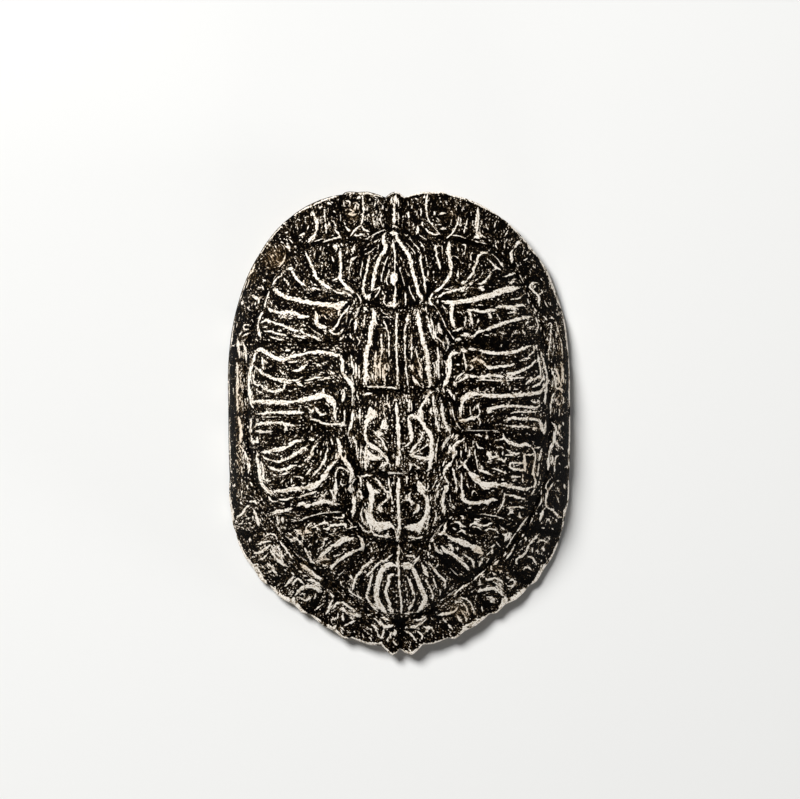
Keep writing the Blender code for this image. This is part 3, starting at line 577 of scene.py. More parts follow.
        ((1.3,2.6),80,37,78,35,75.5,32.8,72,31.2,69,29.8,66,29.2,63.5,28.4,62.4,26.8),
        (1.6,73,26.9,70,26.7,66,26.4,63.5,26), ((2,2.2),60.6,27.5,56,27.8,52,27.9,48,27.2,45.8,27),
        (2.2,44.2,27.6,42,27), ((1.6,2),40.6,27,38,26.4,36,25.3,34.8,24.3),
        (1.2,66,25.2,60,25,54,25,48,25.4,45,24.8), (1.4,60.3,25,59.5,23), (1.3,69.5,36.6,72.5,36.8),
        (1.2,76,37.8,72.6,37.6), (1.3,78,44.8,78.2,42,76.5,40.2,75,39), (1.4,80,46,79.6,43.5),
        ((1.3,2.2),80.6,40,81.5,35,82.4,30.5,82,27.6,79.6,26.3,76.5,25,73.6,23),
        (1.6,84,28,83.2,25.2,80.5,22.6,77,21), (1.4,85.4,24,84,21.6,83,20),
        ((1.5,1.7),82.2,42.3,83.3,38.2,84.5,34.5,85.5,30.7,86.1,27,86,23,85.6,19.5,85,15.5,84.8,11.5),
        ((2.4,2.7),83.5,20,82,18.4,79,17.6,74,17,67,16.4,60,16,52,16.3,46,16.7),
        ((3,4),46.5,17,42.4,17.2,39,15.8,37,14,36.4,11.5), ((3.2,1.2),36.4,11.8,35.9,8.5,35.6,6,36,4),
        (1.2,45.8,20.6,45.4,18.6), (1.3,64.4,21.6,64.2,19.4), (1.2,69,20,66.5,19.8),
        (1.5,54.8,19.8,54,19.6), (1.5,51,19.8,50.2,19.6), (1.4,81.8,13.2,79.3,12.4,76.6,13.1),
        ((1.6,2.1),81.8,11.6,80.6,9.6,76,9.5,70,10,65,10.2,59,10,55.5,9.4,52,9.2), (3.4,52.6,9,51.8,7),
        (1.3,79.5,7,76,6.8,71,6.8,67.5,6.9,64.5,5.8),
        ((1.8,2.2),83.5,-1,82.2,0.6,80.3,2.4,75,2.9,70.2,2.7,66.4,3.4,63,2.4,61.2,1.9),
        (2,75.5,-2,72,-1.8,68,-1.5,64.5,-1.3), (2.2,80,-2.8,77.4,-2.5),
        ((1.4,2.6),81.5,1,82.8,-2.4,84,-5.6), ((1.2,2),85.3,1.5,85,-2,84.8,-5.4),
        (1.2,46.5,12,45.8,9.5,47,7,46,5), (1.3,44,10.5,43.5,8), (1.2,41,8,41.6,5),
        ((1.8,2.2),46,4.3,43,3.4,40.5,2.6,37.6,1.6,34.9,2.3), (1.6,46.2,3.6,46.9,1,46.6,-0.6),
        (1.6,42,-1.4,39.6,-2), (0.9,30.4,12,31,8,31.6,4.6,33.2,0.6,35.6,-3), (0.9,29.4,9,30,4),
        (0.9,58,-4.1,50,-4,43,-3.9,37,-3.7), (1.2,52,3,51,1), (1.4,57.5,-0.6,56.5,-0.4),
    ],
    "costal2Left": [
        ((2.6,2.4),-83.4,42.2,-80,43,-77,41.2,-74,39.5,-71,38,-68,36.8,-65.5,37.2,-63,38.6,-59,39.6,
         -55,40.2), ((1.9,2.2),-55,40.6,-51.5,41,-47.5,41.5,-43.5,41.3,-39.5,40.5,-35.8,39.6,-33.4,39.2),
        ((2.2,2.4),-34,39,-32.6,36,-32.3,33,-32.8,30.3,-31.4,27.8,-29.3,25,-27.4,22.5,-26.3,20.2,
         -26.7,17.4), (1.9,-26.6,17,-26.6,13.5,-26.8,10), (1.2,-29,34.6,-28.5,32.8),
        (1.1,-27.6,28.6,-26.8,26,-26,23.4), (1.5,-79,37.6,-78.8,34,-78.2,31.2),
        (1.2,-79,37.7,-77,36,-75.6,35),
        ((1.5,2),-82.8,33,-81,30.8,-78.8,28.9,-76,28,-73,26.3,-69.6,25.6,-65.3,25.9),
        (1.2,-65,25.2,-60,25,-57.4,25.8,-55.8,27), ((1.4,1.8),-53.8,25,-51,25.6,-48.4,26.6,-45.4,26.8),
        (1.8,-44.5,25.6,-42,26.2,-40,26.2), (2.4,-59,24,-57.5,23,-56,22.3), (1.2,-54,23.3,-50,23.8),
        (1.1,-70,24.5,-66,24,-62,23), ((1.7,1.9),-79.6,22.4,-77.8,20.2,-74.4,19,-69.6,18.9,-66.4,19.9),
        (1.3,-66.2,25,-66,22,-66.4,20), (1.1,-83,20,-81,18.6,-79,18.2), (1.3,-69,31.5,-68,29.6,-66,28.6),
        ((1.7,2.6),-61.5,30.6,-58,31,-55.6,32.4,-54,34), (1.5,-64,35.5,-61,35.8,-58,36),
        (1.3,-41,31.5,-38.5,29.5,-36.5,28.5), (1.1,-50,35,-47,34.4,-44,33), (1.5,-68.5,43.6,-67,42.4),
        (1.5,-65.5,42.4,-63.5,43), (1.3,-54.4,43.4,-54,41.8),
        ((1.9,1.9),-83,41.5,-84.3,37,-85.5,33,-86.5,29.5,-87,26,-87,22,-86.7,18,-86,14,-85.3,11,-84,8.5),
        (1.3,-83.6,31,-84.2,27,-84,24,-82.8,22.6,-80.4,22.5), (0.9,-85.3,20,-85,16,-84.4,14),
        ((2.7,2.6),-84,12.8,-78,12.7,-71,12.4,-65,12.3,-60,13),
        ((2.6,4.1),-60,13,-55,13.8,-50,15,-45.5,16,-42.5,16),
        ((4.5,3.2),-43,16,-39.8,14.5,-37.7,12,-37,9), ((3.2,1.3),-37,9,-36.8,5.5,-36.4,2),
        (2.2,-43.5,19.6,-43.6,17), (2.1,-31.6,18.6,-31.6,16,-32.6,13), (1.1,-31,8,-31.3,4,-31,1),
        ((1.7,2.3),-82.4,5.6,-79,5.8,-75,6.3,-71,6.6,-67,6.3,-63,6.5,-59,6.6,-55,6.4),
        (0.8,-80,3.9,-76,3.8,-71,4), (2.2,-52,8.6,-50.5,7,-49.2,8.4),
        (1.9,-48,9.4,-46.4,7,-45,5.2,-42,5.6),
        ((2.2,1.8),-83.8,-2,-81.6,-0.4,-77,0.2,-70.8,0.7,-65,-0.2,-60.2,-1.3),
        ((1.5,2),-51.2,2.6,-47.6,2.2,-43.8,0.4,-39,-0.4,-33.8,0,-30.6,-0.9), (1.4,-50.4,-0.6,-50.2,-3.8),
        ((1.5,1.9),-85.7,3.2,-86.1,-1,-86.2,-6.5), ((1.9,1.7),-82.6,-4.2,-78,-4.9,-73,-4.4),
        (2,-66,-1,-65.2,-3,-66,-4.8), (1.4,-33.8,-2.4,-33,-4.2), (1.5,-62.5,-3,-61,-4),
    ],
    "costal3Right": [
        ((2,2.6),76.2,-37,73.6,-38,69,-37.3,65,-36.3,61.6,-35.4,58.2,-35.1),
        ((3.2,5.4),58.2,-35.1,54.4,-35.2,51,-35.9,48.6,-35.2,46.2,-33.4),
        ((5.6,2.4),46.8,-33.8,44.2,-31.3,42,-29.2,40.2,-27),
        ((2.2,1.2),40.2,-27,38.8,-25,37.1,-23.2,35.2,-20.9),
        ((1.2,1.9),76.8,-13,78,-15.2,79.1,-17.6,78.9,-21.3,78.3,-25.2,78.1,-29,79.2,-32.8,79.3,-35,
         77,-37), (1.3,39.3,-20.5,37.5,-22.5,35.5,-24.6,33.8,-26),
        ((2.2,2.2),76.8,-12.7,74,-12.2,71.5,-12.3,69,-12.8,66.6,-11.5,63.5,-10.5,61,-8.7,58.8,-9.3),
        (1.2,60.3,-5.8,60.9,-8), (1.4,57.5,-9.2,55.8,-9.4), (1.3,82.4,-13.4,80.6,-14,79,-14.1),
        (1.6,82.9,-14.8,82,-18.2,81.2,-21.3), (1.2,81.4,-22.8,80.8,-26.5,80.4,-30.9),
        (0.9,81.4,-34.2,80.2,-37.4), (1.3,79.4,-36.4,78,-39.6,76.6,-41),
        (1.3,78.6,-17.4,76,-18.1,73.6,-18), (1.3,70,-17.5,67,-17.2,64.5,-16,62.4,-15),
        (1.3,66.5,-18.3,63.5,-18,61.7,-18.3), (1.3,61,-14.4,58.5,-13.4,56,-13.6),
        (1.9,72.4,-17.4,72.6,-20,73,-23,73.2,-27.6), (1.9,72,-22.7,68,-22.8,64.4,-22.6),
        (2,72.6,-27.2,69.4,-26.5,66.6,-26,64.2,-25.4), (1.3,64.3,-23,64.2,-25.2),
        (1.6,70.2,-30.6,67.5,-30.8,65,-30.4), (1.3,71.8,-29.5,71.6,-32,71.8,-34.2),
        (1.3,75,-33,72.5,-33.6), (1.2,68,-33,65.4,-32.8),
        ((1.4,2.4),61.9,-19.8,61,-21.8,58.8,-20.6,56.8,-19,54.8,-19.4,52.8,-19.2,51.6,-17.6,51,-15.8),
        (2.8,53,-18.2,51.8,-16.8), (1.4,53.5,-21.8,51.5,-21.8), (1.2,60.2,-16,60,-18),
        (1.3,57,-16.5,56,-18.5), (1.7,40.8,-15,40.6,-18,39.8,-20.2), (1.4,36,-15.5,36,-19),
        (1,33.2,-15.6,33.4,-18), (1.2,44,-15,43.8,-18), (1.2,44.3,-18.4,45,-22,45.6,-26),
        (1.8,53.2,-29.2,50.5,-28.3,48,-27.2,46,-26.6), (1.4,62.5,-28.6,60,-27.8,57,-26.5,54,-25.8),
        (1.3,48.5,-25.4,47.3,-24.4), (1.6,48.6,-14.2,46.6,-13.8,45.2,-12.6),
        (1.5,48.2,-7.6,46.4,-6.6,44.5,-6.4), (1.9,50.9,-6.4,50.9,-8.9), (1.2,43,-10,42.6,-12.5),
        (1.2,38.4,-10.5,38.8,-13.5,38.6,-16),
        ((1.3,2.3),38.5,-7.4,36.4,-9.6,33.6,-10.8,32,-12.9,31.6,-16.5,31.1,-20.3),
        ((2,1.3),30.6,-21.6,28.6,-24,26.9,-26.4,26,-29,27,-31.8,28.7,-34.4),
        (2,29.7,-12.2,29.2,-15,28.4,-17.8), (1.2,27.2,-20,26.2,-22,25.4,-24.5),
        (1.3,34.4,-6.6,32.6,-8.4,31.2,-9.8), (1.4,31.4,-6,30.2,-8.4), (1.4,33.2,-20.6,33.3,-23,33.8,-25),
        (1.5,31.1,-25.6,31.8,-29,32.8,-32.8,33.3,-36.6,32.8,-39.8),
        ((1.6,1.3),36.1,-28.6,36.3,-32,36.1,-35.5,36.5,-38.3), (2.9,36.8,-38.8,36.5,-41.5,36.6,-43.6),
        (1.3,39.1,-34.6,40.5,-37), (2.9,27.2,-36.2,27.7,-38.6), (0.9,29.5,-41,30,-45,31.4,-47.4,33,-49),
        (1.6,30.6,-47.6,30.9,-49), (1.6,73.4,-43.6,70.2,-43,67,-42,64,-41.3,61.4,-41),
        ((2.2,2.8),57,-44.2,53.6,-43.8,51.4,-45.4,48,-45,45.6,-45.8,42.4,-45.9,39.4,-45.2,36.6,-43.8),
        (1.8,47.5,-44.6,44.5,-46.4), (1.3,44.6,-39.6,43.2,-38.6,42.2,-41),
        ((1.8,0.9),61.1,-40.4,60.7,-44,59.3,-48,57.4,-50.8,56.2,-52.6),
        (1.4,72.8,-48.8,69.3,-48.2,66,-48.4,62.6,-48.9), (1.9,71.6,-54.8,69.8,-53.4,70,-51.4),
        (1.9,66,-51.4,64.6,-50.8), (0.9,66,-49.6,64.3,-51.8,62.6,-53.2),
        ((1.2,2),74.8,-54,72.6,-56.8,71,-59.4,69,-62.2), (0.9,62.6,-56,57.8,-54,53,-52.9,47.6,-52.1),
    ],
    "costal3Left": [
        ((2.3,3.4),-71.4,-38.9,-67,-38.9,-63,-38,-58.5,-37.7,-54.5,-37.2),
        ((3.6,3.9),-54.5,-37.2,-50.5,-36.3,-47.5,-35,-45,-33),
        ((3.9,1.4),-45,-33.2,-43.2,-30.5,-41.3,-27.4,-39.6,-24.7,-37.6,-22.6,-35.2,-20.8),
        ((1.6,2.6),-82,-16.5,-82.4,-20.5,-81.3,-24.6,-80.8,-29,-80.2,-33,-78.8,-36,-76.8,-38,-74.6,-39.8,
         -72.6,-40.8), (1.6,-79.6,-22,-78.8,-25.5,-78.6,-28.5,-78.2,-32,-76,-32.8,-74.4,-33),
        (1.5,-75.8,-41.8,-74.4,-44.2,-72.4,-45.3,-70.4,-45.2),
        ((2,2.8),-79.4,-16.4,-76,-16.2,-72,-15.2,-67.4,-14.5,-64.4,-13.4),
        ((2.6,1.8),-64.4,-13.4,-62,-11.5,-60,-10.4,-57.8,-9.8,-55.5,-9.2), (1.9,-51.5,-9,-49,-9.2),
        (1.8,-85.6,-8.2,-85.3,-10.4,-82.2,-10.4,-82,-8),
        ((1.3,2.4),-79,-18.5,-77.3,-20.3,-73.5,-21.3,-69.2,-22,-66,-20.6,-62.6,-19.4,-60,-17.6,
         -57.2,-15.6,-54.4,-13.6),
        ((2,1.9),-75.2,-24.8,-72,-26.4,-68.7,-26.7,-64.8,-26.1,-62.4,-24.8,-59.6,-24),
        (1.4,-58.5,-24.6,-56,-24.4,-54,-22.8), (1.4,-73,-29.5,-71,-30),
        (1.5,-68.9,-29.7,-66,-28.9,-63.6,-28.2), (1,-67,-32,-67.4,-33.5,-69,-35),
        (1.3,-62,-31.5,-62.2,-34), (1.3,-59,-30.6,-56,-31,-54.8,-32.4),
        (1.5,-54,-29.6,-52.2,-28,-50.9,-26.8,-49.8,-26.2),
        (1.6,-49.6,-29.7,-47.6,-27.8,-46,-26.2,-44.6,-23.8,-42.4,-20.8,-42,-17.6,-41,-14.4),
        (1.9,-53.2,-19.4,-50.8,-18.7,-50.2,-16.4,-49,-13.4,-47.2,-11.3),
        (1.2,-54.5,-21.5,-53,-20.4,-52.4,-22.5), (1.2,-44.8,-15,-45.3,-18.5), (1.4,-39,-8.6,-38.5,-12),
        (1.2,-41.6,-10.5,-41.2,-13), (1.2,-54,-15.5,-53.5,-13,-51.5,-12), (1.2,-43,-10,-43.6,-12.6),
        (1.2,-56.5,-18,-55.5,-16.5), ((1.2,3.2),-36.4,-7.6,-35,-9.7,-34.2,-12.5,-33.7,-15.5,-33.3,-18.2),
        ((3.6,1.5),-33.2,-18.6,-31.4,-20.6,-29.6,-23.2,-28,-26,-27.1,-28.6,-27.5,-31.4,-28.8,-34),
        (2.2,-36,-17.5,-35.4,-20), (1.3,-31.2,-35.2,-33.4,-34.8,-33.2,-32.6),
        (1.3,-29.2,-29.6,-29.8,-27.2,-32.2,-25.7,-34.8,-25.5,-36,-27.8,-36.6,-31),
        ((1.4,2.8),-36.6,-31,-36.4,-34,-36.1,-37.4,-36.5,-40.4),
        ((2.6,1.6),-36.6,-40.6,-37.2,-43,-37,-45.6), (1.9,-39.4,-38.3,-38,-40.4),
        (1.4,-32.6,-28.6,-31.8,-29.6), (1.3,-24.6,-31,-26.4,-33.8,-27.8,-35.8),
        (3.4,-28.2,-37,-27.6,-38.4), ((2,3),-59,-48,-56.4,-46,-53.6,-47.4,-50.5,-46.8),
        ((3,2),-50.5,-46.8,-47,-45.8,-43.5,-45,-40.6,-45.2,-38.2,-46.3,-35.2,-46.3),
        (1.6,-69.5,-44,-65.6,-44,-62.4,-43,-60.4,-42.6),
        (1.6,-58.4,-42.9,-54.6,-41.4,-51.4,-40.5,-47.6,-39.1), (1.2,-45.6,-43,-43.6,-41.6,-41.5,-39.4),
        ((2.4,2),-73.2,-51.6,-70,-51,-66.8,-50.6,-63.6,-49.7,-61,-48.8),
        (1.4,-70.8,-53.2,-70.2,-56.2,-69.6,-58.6), (2,-67.6,-54.4,-67.2,-57.4),
        (1.5,-74,-52.4,-75.2,-54.6), (1.8,-67.6,-59.4,-65.6,-61.2), (1.2,-70.4,-60.4,-68.4,-62.8),
        ((0.9,1.2),-58.4,-56.4,-54.4,-54.7,-50.6,-53.4,-46.6,-52.3,-42.7,-51.6,-38,-51.2,-33,-51),
        (1.2,-40.5,-50,-40.5,-51),
    ],
    "costal4Right": [
        ((3.6,5),48.2,-75.4,46.8,-73.8,44.5,-72.2,42,-71),
        ((4.6,1.9),42,-71,39,-69.8,36,-68.4,33,-67.3,30.3,-66.3,28,-64.6),
        ((2.2,2.2),28.2,-64.6,26.2,-63.3,24.4,-63.6,22.8,-64),
        (1.7,26.8,-62.4,26.8,-60,27,-57.8,28.2,-55.7), (1.6,29,-54.8,30.4,-53.8),
        (1.7,25,-75.4,23,-74.3,21.5,-72.2,20.8,-69.7), (1.5,20.2,-66,18.7,-68.4),
        ((1.8,2.6),41,-85,38.2,-82,35.7,-79.5,33,-77.2,30.3,-75.3,28.1,-74.2,26.3,-73,24.8,-71),
        (2.3,31.6,-73,30.6,-71.4,29,-69.6), (1.8,34,-71.6,34,-73.2),
        ((2,1.3),43.6,-83.6,43.1,-81.4,42.6,-79.2,39.5,-77,36.5,-74.8), (1.3,37,-78,36,-77.4),
        ((1.8,2.5),46.8,-82.6,47.4,-80.8,48.6,-78.6), (1.7,46.5,-77.3,48.9,-75.6),
        (1.7,54.1,-75.8,54.3,-72.7), (1.3,59,-71.5,57.8,-70.3,56.6,-68.5), (1.4,49.8,-71.4,50.3,-70),
        (1.3,53.5,-72,55,-70.4), (1.3,51,-76.5,52,-75), (1.2,51,-80.2,52,-79.2),
        (1.4,59.4,-59.6,57.4,-57.6,55,-57,52.4,-57.8,50.6,-59.2,48,-58.9,45.6,-58.1,43.2,-57.8,41,-59.4),
        (1.3,58,-63.8,56.4,-61.8,54,-60.9,51.5,-61,49.6,-62.1), (1.3,48,-61.6,46,-60,43,-59.8),
        (1.5,47.4,-56,45,-55.5,43.6,-55.5), (1.7,38.4,-54.6,37,-54.7,36.6,-53.5,35.5,-53.2),
        (1.6,38.8,-59.7,36.2,-58.3,34,-56.8,31.6,-56.6), (1.3,36,-59.8,35.4,-58.6),
        (1.9,38.8,-63.8,37.4,-62.4,36,-61.8,34.4,-62.8), (1.3,33.5,-61.2,31,-60.2),
        (1.3,41.7,-65,41,-64.2), (1.2,62.9,-67.8,64.3,-65.2,64.1,-62.6),
        (1.6,61.2,-68.4,62,-66.4,62.8,-64.4,60.8,-64.8), (1,62.2,-72.4,64.2,-69.2,66.4,-65.6,68.4,-63),
        (1.6,61,-61.2,59,-60.6), (1.2,57,-65.4,55.6,-66), (0.8,34.4,-88.2,31.8,-85.8,29.6,-83.6),
        (1.3,37,-87.8,35.6,-87),
    ],
    "costal4Left": [
        ((2.2,2.8),-46.2,-77.6,-43.4,-75.4,-41,-73,-38.8,-71),
        ((3.4,3.6),-39,-70.8,-36.4,-70.1,-34,-68.6,-31.8,-66.9,-29,-66.6,-26.8,-66.2),
        (1.6,-45.6,-79,-43,-78.4,-40,-79),
        ((1.8,2.6),-39.6,-84.4,-37.4,-81.7,-35,-79.3,-32,-77.5,-29.3,-75.8,-26.3,-74,-23.4,-72.9),
        ((3.2,1.3),-23.4,-72.9,-20.8,-72,-20.7,-69.2,-22.2,-66.2,-23.8,-64.6),
        (2.2,-19.4,-64.8,-18.4,-66,-17.6,-68), (1.4,-29.2,-55.4,-27.8,-57.4,-26.6,-58.8),
        (1.2,-29.9,-60.9,-26.7,-59.9,-24.6,-59.6), (1.6,-53.6,-59.8,-51.8,-58.4,-50,-57),
        ((1.5,1.8),-51,-60.7,-48.3,-59.3,-45.2,-58,-42.1,-57.1,-40.2,-58.3),
        ((1.6,2.1),-43.6,-60.6,-41.4,-60.9,-38.7,-58.8,-35.2,-58.6,-31.6,-58.1,-30.3,-60.6),
        (1.5,-47.2,-61,-45.4,-61), (1.3,-37.4,-54.4,-34,-54.2,-31.9,-54,-32.3,-51.8),
        (1.5,-60.5,-61.4,-58,-62,-60,-63.4),
        (1.4,-59.5,-64.6,-57.5,-63.3,-55.8,-64.6,-55.8,-66.8,-54,-67), (2.6,-54,-62.4,-52,-62.6),
        (2,-60.5,-66,-58.6,-67), ((1.2,2),-65.2,-65.6,-62.9,-67.1,-60.2,-68.5),
        (1.9,-57.7,-68.2,-56.6,-69.8,-55.6,-70.4),
        ((1.3,1.8),-54.9,-72,-53.1,-75.3,-51.3,-78.3,-50,-80.4,-48,-81),
        (1.6,-48.4,-80.4,-47,-79.4,-45.8,-81.2), (1.2,-53,-74.4,-51.6,-74.2,-50.5,-76.8),
        (1.6,-44,-82.6,-42.5,-82), (1.2,-46.6,-72.6,-43.6,-70.5,-43.2,-67.5,-40.8,-65.7),
        (0.9,-43.3,-67,-45,-65.2), (1.2,-40.4,-63.8,-38.6,-64.4,-37,-65.8), (1,-38.4,-63.2,-37,-62),
        (1,-34.6,-88,-32.6,-86.2,-31,-84.4), (1.1,-38.6,-85.6,-37,-87.6), (1,-47.8,-69,-47,-66.6),
        (1,-51.5,-71.4,-50,-69.4), (1.2,-64,-63.4,-62.4,-64.4), (1.2,-50.6,-65,-49.4,-64),
        (1.2,-48.2,-62.4,-47.4,-63.8), (1.3,-36,-76.8,-34,-75.6), (1.2,-33,-73,-30.6,-72.4),
    ],
    "nuchal": [
        ((1.6,2.1),-2.6,129.4,-2.7,126,-2.7,121,-2.8,117,-2.8,115.4), (1.3,-3.9,132.6,-4.4,130,-5.1,127),
        (2.1,-1.6,133.2,-2.2,128.4), (1.2,-0.4,130.6,-0.2,127.2), (1.1,-3.7,114,-2.6,115,-0.8,113.6),
        (0.9,-0.2,123.4,-0.2,116), (0.5,-5.2,121,-5,117.6),
    ],
    "marginal1Right": [
        ((1.7,0.8),16.6,133.4,16.1,129,16,124.4,16.6,120.4,17.7,117.5,19.8,114.8,22.2,111.8,24.2,109.4),
        (1.4,15.4,113.2,17.1,111.4,20.3,110,23,109.7), (1.9,27.2,113.5,24.2,113.2),
        (1.3,5.4,123.6,5.5,119.8), (1.5,6.4,117.8,5.8,114.8), (1,8.6,117.4,8.4,113.6),
        (0.9,7.6,128.6,7.8,124.4), (0.9,13,126,12.8,119), (1.3,13.4,117.4,13.4,115),
        ((1.1,2),11,115.6,11,112,10.2,109.6), (1.2,12,109.3,14,108,16.4,106.7), (1.3,21,123.6,21,121),
        (1,22,119.6,25,117.2), (1.8,24,121.8,27,122.4), (1,27.6,129.6,27.8,127), (1,9.6,131.2,12,130.2),
        (1,22,115.4,24.4,115.8), (0.8,10.6,124,10.4,120.6), (0.9,24.2,129.6,24.8,128.2),
        (0.8,5.4,128.8,5.8,126.6),
    ],
    "marginal1Left": [
        (1.4,-21.2,133.2,-20.8,129,-20.5,124.5,-20.9,120,-21.6,116),
        (1.3,-22,115.2,-25.2,112.7,-27.1,110.2,-28.3,108.4), ((1.2,2),-21.4,115,-19.8,112.4,-17.2,111.6),
        (1.7,-22.6,132.4,-24.4,130.8), (1.1,-26.4,128.2,-24.4,128.6,-23.4,127,-23.6,124.6),
        (1.5,-25.2,127,-25.3,124.6), (1.1,-28.4,124.4,-26,123), (1.5,-29.6,121.8,-26.5,121.4,-24.4,122),
        (1.5,-30.4,129.4,-28.6,128.6,-28.6,127), (0.9,-32,130,-31.8,125),
        (1.8,-31,114.4,-29.4,112.6,-27.8,111.8), (1.2,-14.8,123.2,-15,119.4,-14.5,116.4,-13.6,113.4),
        (1.2,-9.8,122.8,-10.8,119,-10.4,117,-9.6,115), (0.9,-12.4,121,-12.6,117.4,-11.8,114.6),
        (1.1,-13.6,129,-14.4,125.6), (1.3,-18.4,126.4,-18.2,124), (1.2,-18.2,120.2,-18,118),
        (1.2,-17.2,130.8,-16.2,129.6), (1,-12.2,130.6,-11,128),
        (1.3,-19.5,107,-15.9,108.9,-12,110.8,-8.2,112.6), (1.6,-25.8,109.4,-24,109.3),
        (1.5,-22.2,110,-21,109.6), (1.1,-9.4,127.6,-9.2,125),
    ],
    "marginal2Right": [
        ((1.8,3.0),46.1,125.6,46,122.5,45.7,119.5,45.4,115.6,45.3,111.8),
        (3.2,45.2,111,46.6,109.2,44.6,108.2), (1.3,47.2,109.8,50.8,107.9),
        ((1.4,0.9),34.7,120.4,34.4,117.4,33.1,114.2,31.6,111.3,29.5,109.1,27.4,107.5),
        ((1,1.4),40.2,120,39.4,116.6,38.2,112.6,38,110.6), (1,31,109.2,34.5,109.1,38.6,107.5),
        (1,50.6,116,51.4,113.6,52.6,112), (1,57,118.2,56,116,55.5,113.8), (0.8,48.2,119,48.4,115.6),
        (1,33.4,125.2,33.4,124.2), (0.8,39.4,128.4,40,126.8), (0.8,37,125.5,36.6,122.6),
        (0.8,54,120.6,52.6,118.6), (1,44,106,47.5,105.2,51,104.4), (0.8,30.6,118.4,30.2,115.6),
        (0.8,42,124,42,121), (0.8,43,118,42.6,113.6), (0.9,52,107,53.6,106), (0.8,36.8,116.8,35.8,114.6),
    ],
    "marginal2Left": [
        ((1.7,2.6),-49.8,124,-49.1,121,-47.9,117.6,-47.5,114.2,-48,111.4),
        ((2.4,2.9),-48.1,111.6,-50,108.2,-52.6,105.6), (1.2,-38,117.6,-36.6,114.8,-36.2,113.8),
        ((1.9,0.9),-37,112.6,-35.2,110.4,-33.4,108), (1.1,-43.4,124.4,-42.9,119,-42.3,113.8,-42,109.7),
        ((1.5,0.9),-33.6,108.2,-37.7,107.4,-41.1,106.3,-44.6,105.2),
        (0.9,-43,107.7,-47.3,106.4,-49.6,105.4), (1.4,-46,126,-46,125.2), (1.7,-41.2,128.4,-40,128),
        (1,-38.2,123.8,-37,122.8), (1,-41.2,125.6,-40.8,122.6), (1,-36,127.2,-36.4,125.8),
        (1.6,-57.6,109.4,-54.6,110.4), (1,-59,114.6,-58.6,112.6), (1,-54.4,116.4,-53,116.2),
        (1,-51.6,122.6,-50.6,120.6), (0.9,-52.4,115,-53.4,112.4), (0.9,-45.4,121.6,-45.2,117),
        (0.9,-40,118,-40.2,113), (0.9,-34,122,-33.8,118),
    ],
    "marginal3Right": [
        ((2,1.7),71,107,68.8,104.6,66.8,101.4), ((2.2,2.3),66.2,101,65.3,98.6,65.6,96,65.6,93.6),
        (1.1,71.4,105.4,72.6,103.2), (1.2,57.6,106.3,56.1,104.2,57.4,101.4), (1.3,61.6,105.2,61.5,101.4),
        (1.2,63.6,112.4,61.8,109.2), (1.4,58.8,112.6,58.4,110.4), (1.3,68,93.6,69.5,91.3),
        (1.2,75,96.2,72.4,94.8), (1,72.6,100.8,72,98.4), (1.3,58.9,115.8,59,113.8), (1,66,108,64.8,105.6),
        (1,75.6,100,74.6,98.6), (1,60,99.4,61,97.6), (1,63,107.6,62.4,106),
    ],
    "marginal3Left": [
        ((1.1,1.7),-65.9,97.6,-67,94.6,-68.4,92.4,-70,91.2), (1.3,-66.6,103.3,-64.4,102.4,-63.2,100.2),
        (0.9,-64.4,107.8,-62.4,106,-61.2,104.2), (0.8,-72.6,104.8,-71.4,102.4,-70.3,100.4),
        (1,-66.8,110.6,-64.8,111.6), (0.9,-70,110.2,-68,109.4), (1.5,-76,104.4,-74.6,103.4),
        (1.5,-60.6,103,-59.6,102.4), (0.8,-68.4,106,-67,104.6), (0.8,-63.4,113.4,-62.4,111.6),
        (0.7,-76,98.6,-73.4,96.2), (0.7,-73,99.6,-70.6,97.2), (0.7,-75.6,94.8,-73.6,93.2),
        (0.7,-71.4,95,-69.6,93.6),
    ],
    "marginal4Right": [
        ((1.5,1.8),80.6,81.9,77.2,81.4,76.3,79.4,77.9,77.3,80.2,75.3,81.4,73.6,81.7,69),
        (1.4,84,77.6,82.8,75.8,81.6,74.8), (1.3,79.4,80,78.8,78.8), (1.3,84.8,71.2,85.8,69.4,86.7,67.7),
        (0.9,70,87,71.5,84,72.6,81.6), (1,73.6,86,74,84), (1,77.6,69,79,66.8,80.4,64.6),
        (1.2,78.2,91.4,79.4,90.6), (1,88,71,88.4,69), (1,75.6,90,76.6,88.2), (1,82.6,84.6,83.6,83),
        (0.9,75,76,76.2,73),
    ],
    "marginal4Left": [
        ((1.6,2.4),-86,74.7,-83.4,73.4,-82,71.6), ((1.7,2.2),-79.2,74,-81,72.6,-81.6,70.4),
        (1.2,-81.8,78.8,-79.4,79.3,-78.3,77.4), (1.3,-79,83.8,-77.4,83),
        (0.9,-88.4,68,-87.2,66.2,-84.8,65.4), (0.9,-83.4,67.8,-81.4,66.6), (1.1,-76.6,90.8,-74.2,90.2),
        ((1.4,1.2),-83.8,93.4,-85,90,-86.8,86.2), (1.1,-87,83.6,-88.6,79.6), (0.7,-86.6,79,-85.6,77.6),
        (0.7,-85.6,69.6,-84.4,68.4), (0.9,-91,72,-91.4,69), (0.8,-82.6,81.6,-83.6,79.6),
    ],
    "marginal5Right": [
        ((1.3,1.3),88.2,55.2,88.3,51,87.8,46.6,87.1,42,87.1,38,87.8,36.4),
        (1,85.8,56.3,88,58.6,89.5,56.2), (1.3,88,61.5,90.2,61.2), (1.5,85,61.6,85.8,60.6),
        ((0.8,1.2),91.1,60.6,92.5,55,93.8,51), ((1.1,1.7),93.8,50,94.9,45.3,95.3,41),
        (0.7,91.4,54,91.6,51), (0.7,89.7,50,89.9,44,89.6,39), (0.7,84.2,55,84.8,49),
        (0.7,92.4,46.6,92.4,41), (0.7,86.2,52,85.8,47),
    ],
    "marginal5Left": [
